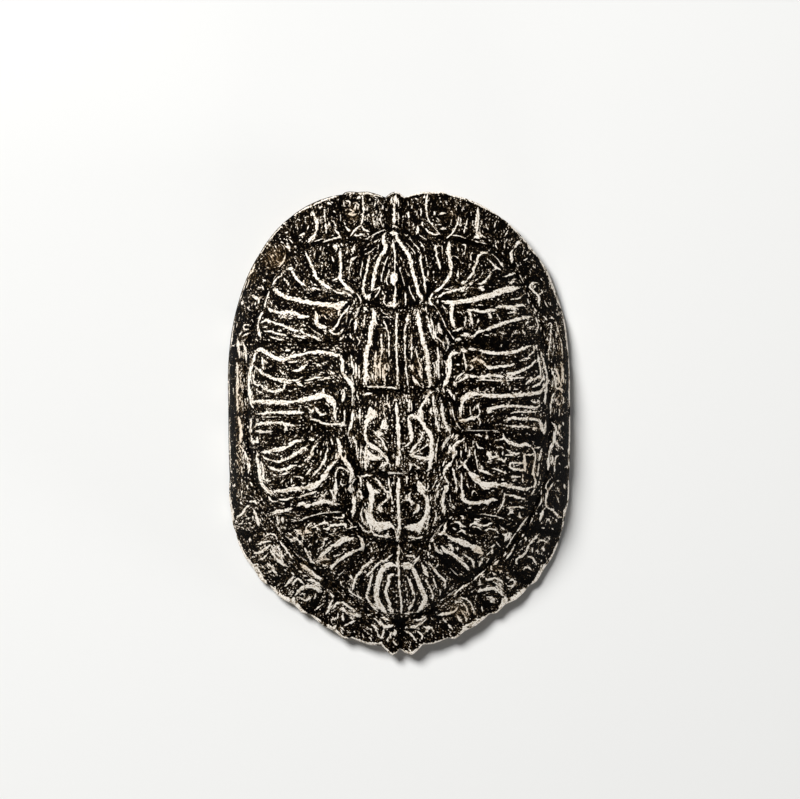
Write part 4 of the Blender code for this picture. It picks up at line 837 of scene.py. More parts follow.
        ((1.3,1.7),-91.4,48.2,-89.5,44.4,-88.9,40.6,-88.9,37), (1.2,-86.8,57.5,-90,57.3,-90,55,-87,54.8),
        (1.2,-86,52.8,-88.8,52,-91.2,50.4), ((2.1,1.7),-94,49,-93.4,45,-92.8,41,-92.6,38),
        (1,-91.6,53.6,-92.8,50.6), (1,-85.6,60.8,-84.6,58.8), (1,-97.6,45.4,-95.4,45.4),
        (0.9,-90.6,42,-90.6,38), (0.9,-94,60,-94.4,56),
    ],
    "marginal6Right": [
        ((1.1,1.6),88.6,31.8,89.7,28.7,91,24.6,91.5,20.6),
        (1.3,90.2,32.6,92.1,29.4,92.9,25.8,94.6,22.2,93.4,20.4), (2.1,91.8,20.4,94.2,20,95.2,18.2),
        (1.4,91.1,19,89.4,15.6,88.4,11.6,88.1,5.8), ((1.6,2.2),94.6,35.6,95.4,30,95.6,24),
        (1.1,94.6,17,95.8,14.4,95.4,11), (1.1,93.2,16.4,91.6,13.8,92.4,11,94.2,12),
        (1.1,93.6,9.6,93.3,4.6), (0.9,89.2,24.6,89.2,21), (0.9,90.4,10,90.4,6), (0.8,97,30,97,22),
    ],
    "marginal6Left": [
        ((0.8,0.9),-90.8,30.3,-92,27.4,-92.1,24.4,-91.2,21,-90.6,18.4), (0.7,-90,28,-89.8,24,-90,20),
        ((1.4,1.6),-94.2,36,-93.8,30,-94.1,23,-94,15,-93.4,7), (0.8,-90.8,15,-91.2,11,-90.4,7),
        (0.7,-88.9,13.6,-89,8), (0.7,-92,17,-92.2,12),
    ],
    "marginal7Right": [
        ((2.2,1.7),90.2,-4.6,90.4,-8.8,89.7,-11,88.4,-13.6,87.4,-16.6,86.8,-20,86.6,-23.6,86.7,-27),
        ((1.8,1),90.6,-9.8,91.9,-10.8,92.6,-12.6,94.4,-13.8,96,-15.2),
        (1.6,89.2,0.4,91.2,-2,92,-4.6,93.6,-6.6,94.8,-8), (1.3,93.6,-1,93,-4), (1.2,95.4,1,95.8,-1),
        (1.4,91.4,-14.6,92.6,-15.8), (1.3,89.2,-18.5,89,-21.9,88.4,-24.4),
        (1.3,93,-18.5,91.3,-19.6,90.7,-22.4,90.5,-25.8,90.2,-28.8), (1.2,95.6,-18.3,96.3,-18.8),
        (1.2,93.2,-22.8,93.5,-23.8), (1.2,96.9,-25.6,98,-25,98.6,-26.6),
    ],
    "marginal7Left": [
        ((1.8,2.3),-93.2,4.8,-92.6,1.3,-91.8,-2.4,-91.6,-5.4,-91.8,-8.6,-92.3,-11.4),
        ((1.5,2.1),-92.4,-12,-91.3,-14,-89.6,-16.6,-88.4,-19.6,-87.3,-23,-87.1,-26,-87.4,-28.4),
        (1.1,-93,-11.8,-94.6,-13.2), (1,-90.2,-11,-89.4,-13),
        (0.9,-93,-14.8,-91.2,-18.6,-90.2,-22.6,-89.8,-26.6), (0.8,-94.3,-17.2,-92.7,-20.2,-91.8,-21.6),
        (1.1,-91.8,-24.4,-91.3,-27.6,-90.8,-30), (0.8,-97.5,-27.8,-96.8,-30),
    ],
    "marginal8Right": [
        ((1.3,1.7),89.8,-34.4,88,-37.2,86.4,-39.6,85.7,-43,85.7,-46.8,86.6,-49.2),
        (1.1,88.2,-31.8,86.2,-34.4,85.5,-36.4,86.1,-38.6),
        (1.5,86.8,-49.2,89.4,-50.2,91,-52.2,93,-54,95.4,-54.8), ((2.6,2.4),84.2,-49.8,83,-53,82,-56.6),
        (1.3,82.9,-38.7,82.5,-41), (1.3,83,-42.4,82.6,-45.6,81.2,-47.8), (1.2,91.7,-42,93,-45,93.4,-46.8),
        (1.2,92,-37,92.8,-39.5), (1.7,96.4,-35.4,97,-38), (1.2,91.6,-33.4,93.6,-33.2),
        (1.2,85.6,-57.4,86.7,-55.3,87.8,-56.8,88.6,-58.6), (1.4,91.4,-55.8,92.2,-57.4),
        (1.3,83.7,-60.6,84.3,-60.6), (1,78.2,-53.6,77.2,-56.2,76,-58.2), (1.2,89.3,-61.2,89.9,-61.6),
    ],
    "marginal8Left": [
        ((1.9,1.4),-87,-47.4,-89.6,-50,-91.8,-53,-94.4,-54.2),
        ((1.9,2.3),-84.2,-50,-82.9,-53.4,-82,-56.8,-81.2,-59.6), (2,-86.6,-45.6,-84,-45.2,-82.4,-46),
        (1.5,-86.4,-34.4,-85,-36), (1.3,-96.4,-37.4,-95.4,-35), (1.4,-88.4,-35.4,-87.8,-37.8),
        (1.4,-84,-38.6,-83.6,-40.4), (1.4,-90.8,-38.8,-91.4,-40.4), (1.4,-92.4,-45.4,-91.4,-46.8),
        (1.4,-87.6,-57.6,-85.6,-58.4), (1.4,-89,-55.4,-86.6,-55),
    ],
    "marginal9Right": [
        (1.6,81.2,-64.4,78,-68,75.6,-70.4,74.4,-73.8,72,-76.8,69,-78.4,68,-80.6,69.2,-82),
        (1.5,86.8,-65.7,87.9,-67.6), (1.5,80,-69.6,82.6,-67.6,84.8,-68.3,87.1,-70),
        (1.5,73.6,-65.9,73.9,-68.6), (1,73,-64,70.9,-66.3), (2,84.2,-71.8,84.1,-74),
        (1.3,78,-71.6,77.6,-75), (1.3,80.8,-73,80.8,-76), (1.7,75.2,-77.4,77.8,-78.3,79.4,-80.6,80.2,-82),
        (1.7,72.8,-85.2,73.8,-83.5,76,-83.9,77.6,-85.6), (1.6,66.8,-71.7,64.8,-75.4,62.6,-78.4),
        (1.2,62.4,-74,61,-76.8), (1,70.2,-69,69.4,-70.6),
    ],
    "marginal9Left": [
        (1.4,-73.8,-71,-71.8,-74,-69.8,-76.8,-67,-80.2), (1.4,-71.4,-70,-69,-74.2,-66.4,-78.6),
        (1.5,-69,-68.4,-66.3,-72,-63.6,-75.6,-61.6,-78.6),
        ((1.2,2.8),-75,-73,-72.4,-77,-69.4,-80.2,-66.6,-82.2,-64.8,-83.2),
        (1.4,-78,-66,-75.2,-64,-72.4,-64.5,-70.4,-66.6), (1.6,-87,-69,-86.9,-66.8),
        (1.5,-82,-70.4,-78,-68.6,-74.4,-68.4),
        ((1.6,2.2),-74.6,-70.4,-77.4,-72.8,-80.4,-74.8,-83.8,-75.6),
        (1.3,-76.5,-76,-79.2,-78.6,-81.4,-79.4), (1.8,-76.6,-81.6,-73.8,-83.6,-71.9,-86.8,-70.6,-88.6),
        (1.6,-80,-83,-78,-84.4), (1.6,-76.4,-86.4,-74,-86),
    ],
    "marginal10Right": [
        ((2.4,1.8),45.8,-98.6,47,-97.2,50.5,-96.5,54.2,-95.8,57.4,-96.8,59.6,-98.8,61.6,-100.6),
        (1.5,46,-93.8,48.8,-93.3), (1.4,47,-90.7,47.5,-92.9),
        (1.7,50.2,-89.6,51.6,-91.1,54.8,-89.9,57.6,-90.3,59.4,-91.7,60.8,-93.6),
        (1.4,55.6,-92.4,58,-94,60,-96,61.6,-97.6),
        (1.8,64.4,-90.4,66.8,-91.2,67.6,-93.2,66,-94.8,63.6,-94.6), (1.5,62.6,-89,64,-90),
        (2.4,57,-80.4,55.8,-81.6), (1.8,53.2,-82.8,53.8,-84.5), (1.6,57.8,-85.4,60.2,-86.2),
        (1.4,54.5,-86.7,56.3,-87.6), (1.5,50,-85.4,47.8,-87,45.6,-89,43.6,-90.9),
        (1.2,49.6,-87.4,47,-89.4), (1.6,51.6,-101,54,-101.2,55.6,-103),
        (1.4,52.6,-102.6,54.4,-104,56.8,-104.6), (3,62,-101.4,62.6,-104),
    ],
    "marginal10Left": [
        ((2.4,3),-60,-99.6,-57.6,-96.8,-54.4,-95,-50.8,-94.6,-47.4,-96,-44.8,-98.4),
        (1.9,-53,-90.8,-50,-91.2,-47.2,-92.8,-44.6,-94.8), (1.8,-66.4,-94.8,-64,-92.2,-61.2,-89),
        (1.7,-62,-94,-59.8,-91,-58,-90.8,-55.6,-93),
        ((2.8,2.1),-57,-81.6,-54.4,-83.8,-51.4,-86.2,-48.2,-88.6,-44.6,-90.4),
        (1.9,-56.4,-102.4,-53.6,-102.8,-50.8,-100.8), (1.8,-48.4,-99.4,-49.4,-102.4),
        (1.5,-58.8,-85.4,-56.4,-86.6), (1.4,-62.6,-86.6,-61,-88), (2.6,-61,-101.6,-61.8,-103.6),
        (1.4,-56,-88,-53.4,-88.8),
    ],
    "marginal11Right": [
        ((2.4,1.4),23,-111.4,26.4,-110.9,30.4,-110,33.4,-108.4,34.4,-106.6),
        ((1.3,1.8),33.6,-111,35.2,-114,37.2,-116.2),
        (1.2,33,-103.9,36.2,-103.8,38.6,-106,40,-109.2,41,-111.4),
        (1.1,34,-101.6,37.6,-101.4,41,-103.6,43,-107,44,-110.4), (1.5,43.8,-108.8,44.8,-111.6),
        (1.2,35.8,-108,38.2,-111.6,39.6,-114.4), (1.8,26,-113.6,27.6,-115.6), (1.6,29,-117,31.4,-120),
        ((2,1.4),38,-117.8,41.2,-117.2,44.2,-115.6,47.6,-113.6,50.4,-112.4), (1.3,48.1,-106,48.8,-109.4),
        (1.5,41.2,-92.6,37.4,-94.8,33.8,-97.6,30.6,-100),
    ],
    "marginal11Left": [
        ((2.2,1.7),-42.4,-110.8,-40.6,-108,-39.7,-104.6,-38.2,-102.6), (1.8,-39.6,-98.8,-38.2,-101.4),
        (1.7,-38.2,-108,-37,-105.4,-34.4,-104.2,-31.6,-104.6,-28.2,-107,-24.8,-109.1),
        ((1.7,2.6),-34.6,-109.4,-33,-107.4,-31,-109.3,-27,-110.8,-22.8,-112.1,-21.4,-112.6),
        (2.2,-32.8,-111.6,-32.3,-114.8), (1.5,-31.6,-117.6,-28.2,-116.2,-25.5,-114.8),
        (1.5,-28.4,-112.8,-26.4,-114), (1.6,-38.6,-112.8,-37.4,-114.4), (2.2,-37,-118,-38.2,-119.2),
        (1.7,-33.6,-118.6,-32,-120.6), (1.1,-49,-108.8,-46,-106.4,-43.8,-104.8),
        (1.3,-35.6,-111.4,-35.8,-114),
    ],
    "marginal12Right": [
        ((1.8,1.2),5.8,-118.2,9.4,-118.3,12,-117,14.6,-115.2,16.4,-113.4),
        (1.5,9.2,-114.1,12.8,-114,15.6,-112), (2,14.8,-118.2,16.8,-119.3,15.4,-121.6),
        (1.3,17.5,-117.6,19.4,-119.6,20.2,-121.8), (1.8,11.2,-121.2,13.4,-123,13.5,-125.7),
        ((1.7,1.4),3.6,-120.6,6.4,-122.2,8.3,-124.2,10.3,-127.2), (1.2,4.6,-118,4,-119),
        (1,18.6,-112.6,20,-114.6),
    ],
    "marginal12Left": [
        ((1.7,2.2),-14.2,-113.4,-11.2,-115.6,-8.6,-117.8,-5.6,-118,-3.6,-117.2),
        (1.8,-10.2,-112.8,-8,-113.3,-6,-114.6), (1.7,-8.5,-119.4,-9.2,-122.3,-10.6,-125.6),
        (2.4,-2.3,-120.4,-2.4,-123.4), (1.6,-4.8,-122.2,-5,-125), (1.4,-6.3,-124.6,-6.4,-128),
        (1.6,-3,-127,-1.4,-129), (1.6,-16,-116.8,-13.6,-118.8,-12.6,-121.6,-11.9,-124.4),
        (1.4,-18,-111,-16,-111.4), (1.2,-21,-122.6,-20.4,-125), (1.2,-17,-124,-16,-126),
    ],
}  # fmt: skip

scuteTonesAndShade = {  # ground of a scute against the others, on the scale of the horn's stops: partly the scute's own tone and partly painted light and shade, darker at the head end and along the right side, lighter at the tail and along the left side
    "nuchal": -0.14, "vertebral1": -0.20, "vertebral2": 0.02, "vertebral3": 0.12, "vertebral4": 0.07,
    "vertebral5": 0.05,
    "costal1Right": -0.10, "costal2Right": -0.06, "costal3Right": -0.11, "costal4Right": -0.14,
    "costal1Left": -0.01, "costal2Left": 0.08, "costal3Left": 0.06,
    "marginal1Right": -0.06, "marginal2Right": -0.08, "marginal3Right": -0.05, "marginal4Right": -0.17,
    "marginal5Right": 0.09, "marginal6Right": 0.02, "marginal7Right": -0.10, "marginal8Right": -0.24,
    "marginal9Right": -0.10, "marginal11Right": 0.16, "marginal3Left": 0.02, "marginal5Left": -0.10,
    "marginal6Left": 0.10, "marginal7Left": -0.02, "marginal8Left": 0.15, "marginal9Left": 0.16,
    "marginal10Left": 0.06, "marginal11Left": 0.06, "marginal12Left": 0.05,
}  # fmt: skip
# Mottled, tan and smooth dark places: middle, reach across and along, lift of the ground, warmth
patches = [
    (-72, 96, 8, 7, 0.12, 0.60), (-85, 86, 4, 5, 0.06, 0.40), (-42, 65, 8, 4, 0.14, 0.40),
    (-11, 33, 5.5, 11, 0.20, 0.40), (10.5, 32, 3.5, 7, 0.16, 0.40), (-11, 9, 5, 6, 0.20, 0.20),
    (-27, 122, 3.5, 6, 0.16, 0.45), (29, 121, 5, 5, 0.06, 0.35), (45, 36, 6, 4, 0.10, 0.45),
    (78, -2.5, 4, 2.5, 0.04, 0.25), (36, 1.5, 3, 2.5, 0.12, 0.30), (75, -26, 5, 9, 0.0, 0.40),
    (-33, -19, 4, 3, 0.10, 0.30), (47, -74, 4, 3, 0.10, 0.35), (-54, -62.5, 5, 3, 0.10, 0.30),
    (-43, -79, 4, 3, 0.06, 0.35), (-56, -83, 4, 3, 0.06, 0.35), (57, -84, 5, 4, 0.04, 0.45),
    (36, -110, 8, 5, 0.08, 0.45), (-84, -66, 9, 9, 0.12, 0.10), (-76, -80, 7, 7, 0.10, 0.10),
    (-93, 0, 2.5, 38, 0.12, 0.45), (94, 28, 2.5, 26, 0.04, 0.40), (-95, 78, 2, 12, 0.06, 0.40),
    (94, -25, 4, 8, -0.25, 0.0), (52, -1.5, 9, 2.5, -0.30, 0.0), (-91, -64.5, 9, 2.6, -0.60, 0.0),
    (88, -63, 8, 4, -0.30, 0.0), (76, -89, 5, 4, -0.30, 0.0), (-71, -90, 4, 4, -0.25, 0.0),
    (50.5, -106, 5, 3, -0.30, 0.0), (-48, -107, 5, 3, -0.30, 0.0), (-29.5, -119, 3, 5, -0.30, 0.0),
    (29.5, -117, 3.5, 6, -0.30, 0.0), (1.2, -117, 3, 8, -0.45, 0.0), (31, -78, 8, 4, -0.25, 0.0),
    (25, 97, 5, 10, -0.15, 0.0), (60, 12, 20, 2, -0.15, 0.0),
]  # fmt: skip
patchFade = 1.5  # power of their fall-off


streakForm = {  # how a streak is drawn from its row, in millimetres
    "steps": 3,  # pieces of the curve between two points
    "tip": 0.45,  # share of its width that a streak keeps at its tips
    "tipShare": 0.33,  # no tip is longer than this share of the streak, plus the least length
    "tipLeast": 0.01,
    "farAway": 30.0,
    "flowWidth": 0.3,  # a streak pulls the run of the noise by its half width and this, fading outwards
    "flowNear": 0.6,
    "flowFade": 1.4,
}


def smoothRoute(points):  # a smooth curve through the listed points
    knots = np.vstack([2 * points[0] - points[1], points, 2 * points[-1] - points[-2]])
    steps = streakForm["steps"]
    route = []
    for a, b, c, d in zip(knots, knots[1:], knots[2:], knots[3:]):
        square, cube = 2 * a - 5 * b + 4 * c - d, 3 * b - a - 3 * c + d
        for t in np.arange(steps) / steps:
            route.append(0.5 * (2 * b + (c - a) * t + square * t**2 + cube * t**3))
    return np.array([*route, points[-1]])


def streakHalfWidths(width, done):  # half width at each point of a route, by how much of it is done
    startWidth, endWidth = width if isinstance(width, tuple) else (width, width)
    half = 0.5 * np.interp(done, [0.0, done[-1]], [startWidth, endWidth])
    toEnd = np.minimum(done, done[-1] - done)
    tipLength = np.minimum(2.0 * half, streakForm["tipShare"] * done[-1] + streakForm["tipLeast"])
    return half * (streakForm["tip"] + (1.0 - streakForm["tip"]) * smoothStep(toEnd / tipLength))


def scuteStreakFields(points, streaks):  # distances to the nearest streak's edge and middle line, and flow
    edge = np.full(len(points), streakForm["farAway"])
    side = np.full(len(points), streakForm["farAway"])
    flow = np.zeros((len(points), 2))
    for width, *numbers in streaks:
        route = smoothRoute(np.array(numbers, float).reshape(-1, 2))
        runs = np.diff(route, axis=0)
        lengths = np.hypot(*runs.T)
        half = streakHalfWidths(width, np.concatenate([[0.0], np.cumsum(lengths)]))
        for a, run, length, start, end in zip(route, runs, lengths, half, half[1:]):
            apart = points - a
            share = np.clip((apart @ run) / length**2, 0.0, 1.0)
            distance = np.hypot(*(apart - share[:, None] * run).T)
            reach = distance - (start + (end - start) * share)
            turn = np.sign(run[0] * apart[:, 1] - run[1] * apart[:, 0])
            side = np.where(reach < edge, distance * turn, side)
            edge = np.minimum(edge, reach)
            double = 2 * math.atan2(run[1], run[0])
            fade = (distance**2 + streakForm["flowNear"]) ** streakForm["flowFade"]
            weight = length * (start + streakForm["flowWidth"]) / fade
            flow += weight[:, None] * (math.cos(double), math.sin(double))
    return edge, side, flow / np.hypot(*flow.T)[:, None]


def keepOnVertices(piece, name, *fields):  # three fields in one attribute
    attribute = piece.data.attributes.new(name, "FLOAT_VECTOR", "POINT")
    attribute.data.foreach_set("vector", np.stack(fields, 1).astype(np.float32).ravel())


def makeOuterFace():
    piece = addGrid("carapace_shell", shell["columns"], shell["rows"])
    places = readPlaces(piece)
    x, y = discToPlan(places[:, 0], places[:, 1], lambda angle: lobe(angle) - shell["edgeRound"])
    distance = seamDistance(np.stack([x, y], 1))
    t = np.clip(distance / shell["grooveHalfWidth"], 0.0, 1.0)
    groove = -shell["grooveDepth"] * (1.0 - t * t) ** 2
    rise = np.clip(distance - shell["grooveHalfWidth"], 0.0, None)
    pillow = shell["pillow"] * (1.0 - np.exp(-rise / shell["pillowReach"]))
    share = y / shell["length"]
    rear = smoothStep((share - shell["keelRear"]) / shell["keelRearFade"])
    front = smoothStep((shell["keelFront"] - share) / shell["keelFrontFade"])
    keel = shell["keelHeight"] * np.exp(-((x / shell["keelHalfWidth"]) ** 2)) * (rear * front)
    places[:, 0], places[:, 1], places[:, 2] = x, y, dome(x, y) + groove + pillow + keel
    writePlaces(piece, places)
    print("outer face", len(places), "points")
    return piece


def makeEdge(piece):
    reach, share = shell["edgeRound"], shell["edgeRoundShare"]
    turns = np.radians(shell["edgeRoundTurns"])
    rounding = [(reach * (1 - math.sin(turn)), 1.0 - share * (1 - math.cos(turn))) for turn in turns]
    extrudeRim(piece, rounding + shell["edgeFoot"])
    print("edge", len(rounding + shell["edgeFoot"]), "rings")


hollow = {  # backbone, ribs and mesh of the inner face
    "spineDepth": 0.0085,
    "spineHalfWidth": 0.0052,
    "spineFront": 0.098,
    "spineRear": -0.092,
    "spineFade": 0.02,
    "vertebraLength": 0.0235,
    "vertebraWaist": 0.22,  # how far the backbone's width and depth swing along a vertebra, as shares
    "vertebraSwell": 0.10,
    "ribDepth": 0.0013,
    "ribHalfWidth": 0.0042,
    "ribHead": 1.3,  # the ribs are deeper by this share at the backbone, over this reach
    "ribHeadReach": 0.018,
    "ribEnd": 0.70,  # where the ribs start to fade and over what run, as shares of the way out
    "ribFade": 0.25,
    "ribFan": 0.10,  # the ribs lie further apart by this share, this far from the backbone
    "ribFanAt": 0.09,
    "wallHeight": 1.15,  # inner wall: its height as a share of the shell's, and the powers of its curve
    "wallSharp": 7.0,
    "wallEase": 0.6,
    "spread": 1.1,  # power that draws the mesh's columns to the backbone
    "slopeStep": 0.0005,
    "scutesFrom": 0.93,  # share of the way out where the bones' joints give way to the scutes' seams
    "columns": 88,
    "rows": 112,
}


def ribRow(x, y):  # whole numbers along the ribs, which fan out from the backbone
    return y / hollow["vertebraLength"] / (1.0 + hollow["ribFan"] * (x / hollow["ribFanAt"]) ** 2)


def makeInnerFace():
    piece = addGrid("innerFace", hollow["columns"], hollow["rows"])
    places = readPlaces(piece)
    x, y = discToPlan(places[:, 0], places[:, 1], lambda angle: -lip(angle), hollow["spread"])
    step = hollow["slopeStep"]
    slopeX = (dome(x + step, y) - dome(x - step, y)) / (2 * step)
    slopeY = (dome(x, y + step) - dome(x, y - step)) / (2 * step)
    roof = dome(x, y) - shell["bone"] * np.sqrt(1.0 + slopeX**2 + slopeY**2)
    angle = np.arctan2(x, y)
    floor = rimBottom(rimRadius(angle) * np.cos(angle))
    share = np.clip(np.hypot(x, y) / (rimRadius(angle) - lip(angle)), 0.0, 1.0)
    curve = (1.0 - share ** hollow["wallSharp"]) ** hollow["wallEase"]
    wall = floor + hollow["wallHeight"] * shell["height"] * curve
    inside = 1.0 - smoothStep((share - hollow["ribEnd"]) / hollow["ribFade"])
    rear = smoothStep((y - hollow["spineRear"]) / hollow["spineFade"])
    along = rear * smoothStep((hollow["spineFront"] - y) / hollow["spineFade"])
    swing = np.cos(2 * math.pi * y / hollow["vertebraLength"])
    waist = hollow["spineHalfWidth"] * (1.0 + hollow["vertebraWaist"] * swing)
    spine = hollow["spineDepth"] * np.exp(-((x / waist) ** 2)) * along
    spine = spine * (1.0 + hollow["vertebraSwell"] * swing)
    row = ribRow(x, y)
    ridge = np.exp(-(((row - np.round(row)) * hollow["vertebraLength"] / hollow["ribHalfWidth"]) ** 2))
    head = 1.0 + hollow["ribHead"] * np.exp(-((x / hollow["ribHeadReach"]) ** 2))
    rib = hollow["ribDepth"] * ridge * head * inside * along
    places[:, 0], places[:, 1], places[:, 2] = x, y, np.minimum(roof, wall) - spine - rib
    writePlaces(piece, places)
    print("inner face", len(places), "points")
    return piece


def joinFaces(outer, inner):  # one closed body: the two faces meet along the rim's underside
    outside = len(outer.data.polygons)
    bpy.ops.object.select_all(action="DESELECT")
    inner.select_set(True)
    outer.select_set(True)
    bpy.context.view_layer.objects.active = outer
    bpy.ops.object.join()
    outer.data.materials.append(None)
    outer.data.materials.append(None)
    bpy.ops.object.mode_set(mode="EDIT")
    selectOpenEdges()
    bpy.ops.mesh.bridge_edge_loops()
    bpy.ops.mesh.select_all(action="SELECT")
    bpy.ops.mesh.normals_make_consistent(inside=False)
    bpy.ops.mesh.select_all(action="DESELECT")
    bpy.ops.object.mode_set(mode="OBJECT")
    slots = np.ones(len(outer.data.polygons), np.int32)
    slots[:outside] = 0
    outer.data.polygons.foreach_set("material_index", slots)
    outer.data.shade_smooth()
    return outer


flank = {  # smooth dark run inside the edge, along the sides, in millimetres
    "halfLength": 62.0,
    "endFade": 14.0,
    "from": 1.3,  # inset from the rim where it starts and ends
    "fromFade": 0.6,
    "to": 5.0,
    "toFade": 1.0,
    "dark": 0.30,
}
darkFoot = {  # the edge is dark below this share of its height, and below another along the left
    "share": 0.70,
    "shareLeft": 0.90,
    "leftRear": -0.035,
    "pastBand": 0.8,  # what it has for its distance past the pale band, in millimetres
}


def scuteFields(plan, settled):  # streaks and tone of the scute that each place is in; the tone is partly painted light and shade
    edge = np.full(len(plan), streakForm["farAway"])
    side = np.full(len(plan), streakForm["farAway"])
    flow = np.tile((1.0, 0.0), (len(plan), 1))
    toneAndShade = np.zeros(len(plan))
    for name, outline in scuteOutlines().items():
        own = insideOutline(plan, outline)
        edge[own], side[own], flow[own] = scuteStreakFields(settled[own], scuteStreaks[name])
        # each scute's tone is partly its own and partly painted shade, darker at the head end and the right
        # side, lighter at the tail and the left side
        toneAndShade[own] = scuteTonesAndShade.get(name, 0.0)
    return edge, side, flow, toneAndShade


def distancePastBand(places, angle, rimInset):  # how far inside the pale band, or on the edge's dark foot
    left = (places[:, 0] < 0) & (places[:, 1] > darkFoot["leftRear"])
    dark = np.where(left, darkFoot["shareLeft"], darkFoot["share"])
    edgeShare = (places[:, 2] - rimBottom(rimRadius(angle) * np.cos(angle))) / shell["edge"]
    return np.where(edgeShare < dark, darkFoot["pastBand"], rimInset - edgeBand(angle))


def addFields(piece):  # what the materials read, point by point, in millimetres
    places = readPlaces(piece)
    x, y, plan = places[:, 0], places[:, 1], places[:, :2]
    angle = np.arctan2(x, y)
    rimInset = (rimRadius(angle) + lobe(angle) - np.hypot(x, y)) / millimetre
    settledX, settledY = settle(x, y)
    settled = np.stack([settledX, settledY], 1) / millimetre
    edge, side, flow, toneAndShade = scuteFields(plan, settled)
    tan = np.zeros(len(places))
    for across, along, reachAcross, reachAlong, lift, warmth in patches:
        away = ((settled[:, 0] - across) / reachAcross) ** 2 + ((settled[:, 1] - along) / reachAlong) ** 2
        strength = np.exp(-(away**patchFade))
        toneAndShade += lift * strength
        tan += warmth * strength
    beside = smoothStep((flank["halfLength"] - np.abs(settled[:, 1])) / flank["endFade"])
    inner = smoothStep((rimInset - flank["from"]) / flank["fromFade"])
    toneAndShade -= flank["dark"] * beside * inner * smoothStep((flank["to"] - rimInset) / flank["toFade"])
    ring = np.hypot(x, y) / rimRadius(angle)
    edgeBone = np.interp(np.abs(angle), rimAngles, np.arange(len(rimAngles)))
    edgeBone = edgeBone + np.where(ring < hollow["scutesFrom"], 0.5, 0.0)
    seam, band = seamDistance(plan) / millimetre, distancePastBand(places, angle, rimInset)
    keepOnVertices(piece, "streak", edge, side, np.abs(side) - edge)
    # the third field of flow is the tone: the scutes' own tone and painted light and shade, the patches, and
    # the dark run along the sides
    keepOnVertices(piece, "flow", flow[:, 0], flow[:, 1], toneAndShade)
    keepOnVertices(piece, "borders", seam, band, tan)
    keepOnVertices(piece, "bones", ribRow(x, y) + 0.5, ring, edgeBone)

    outside = np.zeros(len(places), bool)
    for face in piece.data.polygons:
        if face.material_index == 0:
            outside[list(face.vertices)] = True
    slope = shell["streakSlope"]
    proud = shell["streakRise"] * smoothStep((slope / 2 - edge) / slope) * outside
    places[:, 0], places[:, 1] = settledX, settledY
    places[:, 2] += proud * (rimInset > shell["smoothEdge"])
    writePlaces(piece, places)
    print("fields of", len(scuteStreaks), "scutes")


def newMaterial(name):
    material = bpy.data.materials.new(name)
    material.use_nodes = True
    return material, material.node_tree.nodes["Principled BSDF"]


class Bench:  # adds nodes to one material and wires them up
    def __init__(self, material):
        self.nodes, self.links = material.node_tree.nodes, material.node_tree.links

    def add(self, kind, inputs=None, **settings):
        node = self.nodes.new(kind)
        for key, value in settings.items():
            setattr(node, key, value)
        for key, value in (inputs or {}).items():
            self.wire(value, node.inputs[key])
        return node

    def wire(self, value, socket):
        if isinstance(value, bpy.types.NodeSocket):
            self.links.new(value, socket)
        else:
            socket.default_value = value

    def math(self, operation, a, b=0.0, clamp=False):
        return self.add("ShaderNodeMath", {0: a, 1: b}, operation=operation, use_clamp=clamp).outputs[0]

    def multiplyAdd(self, a, b, c):
        return self.add("ShaderNodeMath", {0: a, 1: b, 2: c}, operation="MULTIPLY_ADD").outputs[0]

    def ramp(self, value, low, high, fromLow=0.0, toHigh=1.0):  # smooth step between two values
        inputs = {0: value, 1: low, 2: high, 3: fromLow, 4: toHigh}
        return self.add("ShaderNodeMapRange", inputs, interpolation_type="SMOOTHSTEP").outputs[0]

    def mix(self, share, a, b, blend="MIX"):  # of two colours
        inputs = {0: share, 6: a, 7: b}
        return self.add("ShaderNodeMix", inputs, data_type="RGBA", blend_type=blend).outputs[2]

    def noise(self, vector, scale, detail, rough):
        inputs = {"Vector": vector, "Scale": scale, "Detail": detail, "Roughness": rough}
        return self.add("ShaderNodeTexNoise", inputs).outputs["Fac"]

    def centredNoise(self, vector, scale, detail, rough):  # swings round zero
        return self.math("SUBTRACT", self.noise(vector, scale, detail, rough), 0.5)

    def parts(self, vector):
        return self.add("ShaderNodeSeparateXYZ", {0: vector}).outputs

    def fields(self, name):  # the three fields of an attribute
        return self.parts(self.add("ShaderNodeAttribute", attribute_name=name).outputs["Vector"])

    def bump(self, height, depth, strength):
        inputs = {"Height": height, "Distance": depth, "Strength": strength}
        return self.add("ShaderNodeBump", inputs).outputs[0]


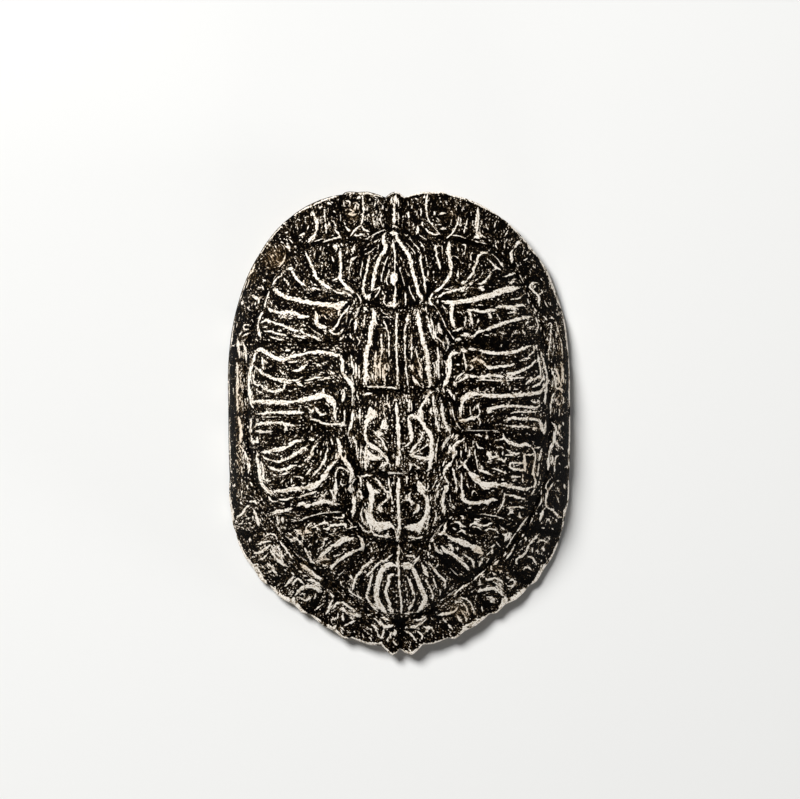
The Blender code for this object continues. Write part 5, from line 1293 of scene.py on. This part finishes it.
horn = {  # finish of the scutes
    "stops": [  # from the darkest ground to the palest streak, in linear light
        (0.00, (0.0004, 0.0001, 0.0000, 1)),
        (0.33, (0.0068, 0.0038, 0.0013, 1)),
        (0.58, (0.0570, 0.0365, 0.0168, 1)),
        (0.77, (0.216, 0.159, 0.097, 1)),
        (0.90, (0.60, 0.517, 0.408, 1)),
        (0.98, (0.95, 0.885, 0.795, 1)),
    ],
    "ground": -0.035,  # level of the ground and of the streaks on those stops
    "streak": 0.98,
    "groundSpeckle": 3.7,  # how strongly the noise moves them
    "streakSpeckle": 0.55,
    "brown": 0.50,  # level of the mottled tan places, and the noise in it
    "brownSpeckle": 1.2,
    "mottle": 1.5,
    "tan": (0.80, 0.64, 0.44, 1),
    "fine": (0.0020, 0.00090, 1.0, 0.11),  # noises along the streaks: reach along and across, detail, seed
    "long": (0.0068, 0.0012, 1.0, 0.37),
    "seedSteps": (1.0, 0.7, 0.3),  # how far a seed moves them along each axis
    "runningRough": 0.6,
    "runningDepth": 2.5,  # reach in depth against the reach across
    "grain": (1100.0, 1.0, 0.6),  # even noises: scale, detail, roughness
    "wide": (120.0, 2.0, 0.55),
    "chips": (190.0, 2.0, 0.65),
    "fineShare": 0.9,
    "longShare": 0.6,
    "grainShare": 0.85,
    "wideShare": 0.32,
    "ragged": 1.6,  # how far the noise moves a streak's edge, in millimetres, and its share in thin streaks
    "raggedThin": 0.4,
    "thinToWide": (0.30, 1.10),  # half widths that count as thin and as wide
    "leeway": 0.42,  # how far a streak may reach past its edge as the vertices have it, in millimetres
    "streakFade": (0.14, -0.40),  # what a streak's edge fades over, in millimetres
    "bandFade": (0.22, -0.22),  # the same for the pale edge, and how far the noise moves that
    "bandRagged": -0.8,
    "chipFade": (0.36, 0.44, 0.40, 1.0),  # the pale edge is chipped down to the third value
    "seamFade": (2.2, 1.0, 0.0, -0.20),  # distance from a seam that its dark runs over, and how dark
    "seamLine": (0.62, 0.25, 0.0, 1.0),  # its pale line, which the long noise breaks up
    "seamBreaks": (-0.04, 0.08, 0.0, 0.40),
    "roughness": (0.1, 0.9, 0.48, 0.64),  # of the ground and of the streaks
    "specular": 0.015,
    "bumpDepth": 0.00035,
    "bumpStrength": 0.4,
}


def runningNoise(bench, place, weights, along, across, detail, seed):  # noise drawn out as the streaks run
    total = None
    for i, weight in enumerate(weights):
        inputs = {
            "Vector": place,
            "Location": [seed * step for step in horn["seedSteps"]],
            "Rotation": (0, 0, i * math.pi / 4),
            "Scale": (along, across, horn["runningDepth"] * across),
        }
        turned = bench.add("ShaderNodeMapping", inputs, vector_type="TEXTURE").outputs[0]
        part = bench.math("MULTIPLY", bench.centredNoise(turned, 1.0, detail, horn["runningRough"]), weight)
        total = part if total is None else bench.math("ADD", total, part)
    return total


def hornLevel(bench):  # how pale the horn is at each point, on the scale of its stops, and its warmth
    place = bench.add("ShaderNodeTexCoord").outputs["Object"]
    flowX, flowY, toneAndShade = bench.fields("flow")
    edge, side, half = bench.fields("streak")
    seam, band, tan = bench.fields("borders")
    weights = [  # of the four ways that the noise may run
        bench.math("MAXIMUM", flowX, 0.0),
        bench.math("MAXIMUM", flowY, 0.0),
        bench.math("MAXIMUM", bench.math("MULTIPLY", flowX, -1.0), 0.0),
        bench.math("MAXIMUM", bench.math("MULTIPLY", flowY, -1.0), 0.0),
    ]
    fine = runningNoise(bench, place, weights, *horn["fine"])
    long = runningNoise(bench, place, weights, *horn["long"])
    grain = bench.centredNoise(place, *horn["grain"])
    wide = bench.centredNoise(place, *horn["wide"])
    speckle = bench.math("MULTIPLY", fine, horn["fineShare"])
    speckle = bench.math("ADD", speckle, bench.math("MULTIPLY", long, horn["longShare"]))
    speckle = bench.math("ADD", speckle, bench.math("MULTIPLY", grain, horn["grainShare"]))

    sharp = bench.math("SUBTRACT", bench.math("ABSOLUTE", side), half)
    edge = bench.math("MAXIMUM", sharp, bench.math("SUBTRACT", edge, horn["leeway"]))
    thin, ragged = horn["raggedThin"] * horn["ragged"], horn["ragged"]
    worn = bench.ramp(half, *horn["thinToWide"], -thin, -ragged)  # thin streaks stay whole
    streak = bench.ramp(bench.multiplyAdd(fine, worn, edge), *horn["streakFade"])
    band = bench.math("ADD", band, bench.math("MULTIPLY", fine, horn["bandRagged"]))
    chips = bench.ramp(bench.noise(place, *horn["chips"]), *horn["chipFade"])
    rim = bench.math("MULTIPLY", bench.ramp(band, *horn["bandFade"]), chips)
    pale = bench.math("MAXIMUM", streak, rim)

    ground = bench.math("ADD", speckle, bench.math("MULTIPLY", wide, horn["wideShare"]))
    ground = bench.multiplyAdd(ground, horn["groundSpeckle"], horn["ground"])
    # the tone adds painted light and shade to the ground, along with the scutes' own tone and the patches
    ground = bench.math("ADD", ground, toneAndShade)
    ground = bench.math("ADD", ground, bench.ramp(seam, *horn["seamFade"]))
    line = bench.ramp(seam, *horn["seamLine"])
    line = bench.math("MULTIPLY", line, bench.ramp(long, *horn["seamBreaks"]))
    ground = bench.math("ADD", ground, line)
    brown = bench.math("SUBTRACT", bench.multiplyAdd(speckle, horn["brownSpeckle"], horn["brown"]), ground)
    ground = bench.multiplyAdd(bench.math("MULTIPLY", tan, horn["mottle"], clamp=True), brown, ground)
    high = bench.multiplyAdd(speckle, horn["streakSpeckle"], horn["streak"])
    return bench.multiplyAdd(pale, bench.math("SUBTRACT", high, ground), ground), tan


def makeHorn():
    material, shader = newMaterial("streaked horn")
    bench = Bench(material)
    level, tan = hornLevel(bench)
    ramp = bench.add("ShaderNodeValToRGB", {"Fac": level})
    stops = ramp.color_ramp.elements
    while len(stops) < len(horn["stops"]):
        stops.new(0.5)
    for stop, (position, colour) in zip(stops, horn["stops"]):
        stop.position, stop.color = position, colour
    bench.wire(bench.mix(tan, ramp.outputs["Color"], horn["tan"], "MULTIPLY"), shader.inputs["Base Color"])
    bench.wire(bench.ramp(level, *horn["roughness"]), shader.inputs["Roughness"])
    bench.wire(horn["specular"], shader.inputs["Specular IOR Level"])
    height = bench.math("MINIMUM", level, 1.0)
    bench.wire(bench.bump(height, horn["bumpDepth"], horn["bumpStrength"]), shader.inputs["Normal"])
    print("streaked horn ready")
    return material


bone = {  # finish of the inner face
    "pale": (0.66, 0.56, 0.41, 1),
    "tan": (0.37, 0.255, 0.145, 1),
    "suture": (0.085, 0.048, 0.024, 1),
    "sutureWidth": 0.34,  # half width of the joints between the bones, in millimetres
    "sutureCore": 0.3,  # share of it that is fully dark
    "zigzag": 3.4,  # how far the joints wander, in millimetres
    "ring": 0.79,  # where the edge bones start, as a share of the way out
    "outward": 110.0,  # the way out and an edge bone's length, in millimetres
    "edgeBone": 24.0,
    "neural": 9.5,  # half width of the bones along the backbone, in millimetres
    "wander": (330.0, 2.0, 0.7),  # noises: scale, detail, roughness
    "wear": (55.0, 2.0, 0.6),
    "cloud": (26.0, 5.0, 0.62),
    "fibre": (1.0, 3.0, 0.6),
    "pore": (520.0, 2.0, 0.5),
    "fibreStretch": (90.0, 620.0, 400.0),
    "wearFade": (0.34, 0.58, 0.25, 0.95),  # where each noise starts and stops counting, and how strongly
    "cloudFade": (0.36, 0.66),
    "fibreFade": (0.45, 0.72, 0.0, 0.35),
    "poreFade": (0.33, 0.27),
    "stainFade": (3.0, 0.0, 0.0, 0.45),  # distance from a joint that its stain runs over, and how strong
    "roughness": (0.3, 0.7, 0.52, 0.70),
    "specular": 0.3,
    "fibreRise": 0.5,  # the fibres' height against that of the pores and joints
    "bumpDepth": 0.0004,
    "bumpStrength": 0.5,
}


def boneJoints(bench, place):  # (distance from the joint, where it is drawn): costal, ring, edge, neural
    row, ring, edgeBone = bench.fields("bones")
    wander = bench.math("MULTIPLY", bench.centredNoise(place, *bone["wander"]), bone["zigzag"])
    inner = bench.math("GREATER_THAN", bone["ring"], ring)
    fromMiddle = bench.math("DIVIDE", bench.math("ABSOLUTE", bench.parts(place)[0]), millimetre)
    costal = bench.math("MULTIPLY", bench.math("PINGPONG", row, 0.5), hollow["vertebraLength"] / millimetre)
    between = bench.math("MULTIPLY", bench.math("PINGPONG", edgeBone, 0.5), bone["edgeBone"])
    joints = [
        (costal, inner),
        (bench.math("MULTIPLY", bench.math("SUBTRACT", ring, bone["ring"]), bone["outward"]), 1.0),
        (between, bench.math("SUBTRACT", 1.0, inner)),
        (bench.math("SUBTRACT", fromMiddle, bone["neural"]), inner),
    ]
    for i, (distance, where) in enumerate(joints):
        joints[i] = (bench.math("ABSOLUTE", bench.math("ADD", distance, wander)), where)
    return joints


def makeBone():
    material, shader = newMaterial("bare bone")
    bench = Bench(material)
    place = bench.add("ShaderNodeTexCoord").outputs["Object"]
    joints = boneJoints(bench, place)
    line, width = 0.0, bone["sutureWidth"]
    for distance, where in joints:
        drawn = bench.math("MULTIPLY", bench.ramp(distance, width, bone["sutureCore"] * width), where)
        line = bench.math("MAXIMUM", drawn, line)
    line = bench.math("MULTIPLY", line, bench.ramp(bench.noise(place, *bone["wear"]), *bone["wearFade"]))

    cloud = bench.noise(place, *bone["cloud"])
    stretched = bench.add("ShaderNodeMapping", {"Vector": place, "Scale": bone["fibreStretch"]}).outputs[0]
    fibres = bench.noise(stretched, *bone["fibre"])
    pores = bench.ramp(bench.noise(place, *bone["pore"]), *bone["poreFade"])
    stain = bench.ramp(bench.math("MINIMUM", joints[0][0], joints[1][0]), *bone["stainFade"])
    colour = bench.mix(bench.ramp(cloud, *bone["cloudFade"]), bone["pale"], bone["tan"])
    colour = bench.mix(bench.ramp(fibres, *bone["fibreFade"]), colour, bone["tan"])
    colour = bench.mix(pores, colour, bone["suture"])
    colour = bench.mix(stain, colour, bone["tan"])
    colour = bench.mix(line, colour, bone["suture"])
    bench.wire(colour, shader.inputs["Base Color"])
    bench.wire(bench.ramp(cloud, *bone["roughness"]), shader.inputs["Roughness"])
    bench.wire(bone["specular"], shader.inputs["Specular IOR Level"])
    height = bench.math("MULTIPLY", fibres, bone["fibreRise"])
    height = bench.math("SUBTRACT", height, bench.math("ADD", pores, line))
    bench.wire(bench.bump(height, bone["bumpDepth"], bone["bumpStrength"]), shader.inputs["Normal"])
    print("bare bone ready")
    return material


studio = {
    "frameWidth": 0.467,  # what the picture spans at the rim, across
    "aim": (0.0007, 0.0140),
    "cameraHeight": 6.0,
    "cameraReach": 50.0,
    "sensor": 36.0,
    "floorSize": 12.0,
    "floor": (0.86, 0.86, 0.845, 1),
    "floorRoughness": 0.9,
    "floorSpecular": 0.1,
    "lights": {  # power, place and size
        "key": (182.0, (-1.50, 1.76, 3.05), 1.5),
        "fill": (32.0, (2.9, -0.9, 0.38), 1.0),
        "rear": (22.0, (0.3, -3.0, 0.38), 1.0),
    },
    "air": (1.0, 1.0, 0.99, 1),
    "airLight": 0.030,
}


def makeStudio():
    bpy.ops.object.select_all(action="DESELECT")
    bpy.ops.mesh.primitive_plane_add(size=studio["floorSize"], location=(0, 0, 0))
    floor = bpy.context.object
    floor.name = "floor"
    paper, shader = newMaterial("pale floor")
    shader.inputs["Base Color"].default_value = studio["floor"]
    shader.inputs["Roughness"].default_value = studio["floorRoughness"]
    shader.inputs["Specular IOR Level"].default_value = studio["floorSpecular"]
    floor.data.materials.append(paper)

    world = bpy.data.worlds.new("studio air")
    bpy.context.scene.world = world
    world.use_nodes = True
    world.node_tree.nodes["Background"].inputs["Color"].default_value = studio["air"]
    world.node_tree.nodes["Background"].inputs["Strength"].default_value = studio["airLight"]

    for name, (power, place, size) in studio["lights"].items():
        bpy.ops.object.light_add(type="AREA", location=place)
        light = bpy.context.object
        light.name = name
        light.visible_camera = False
        light.data.shape = "DISK"
        light.data.size = size
        light.data.energy = power
        light.rotation_euler = (-Vector(place)).to_track_quat("-Z", "Y").to_euler()

    bpy.ops.object.camera_add(location=(*studio["aim"], studio["cameraHeight"]), rotation=(0, 0, 0))
    camera = bpy.context.object
    camera.data.sensor_width = studio["sensor"]
    camera.data.lens = studio["sensor"] * studio["cameraHeight"] / studio["frameWidth"]
    camera.data.clip_end = studio["cameraReach"]
    bpy.context.scene.camera = camera
    bpy.context.scene.view_settings.view_transform = "Standard"
    print("studio ready")


outer = makeOuterFace()
makeEdge(outer)
carapace = joinFaces(outer, makeInnerFace())
addFields(carapace)
carapace.data.materials[0] = makeHorn()
carapace.data.materials[1] = makeBone()
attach(carapace, "root")
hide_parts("carapace")
print("carapace", len(carapace.data.polygons), "faces")
makeStudio()
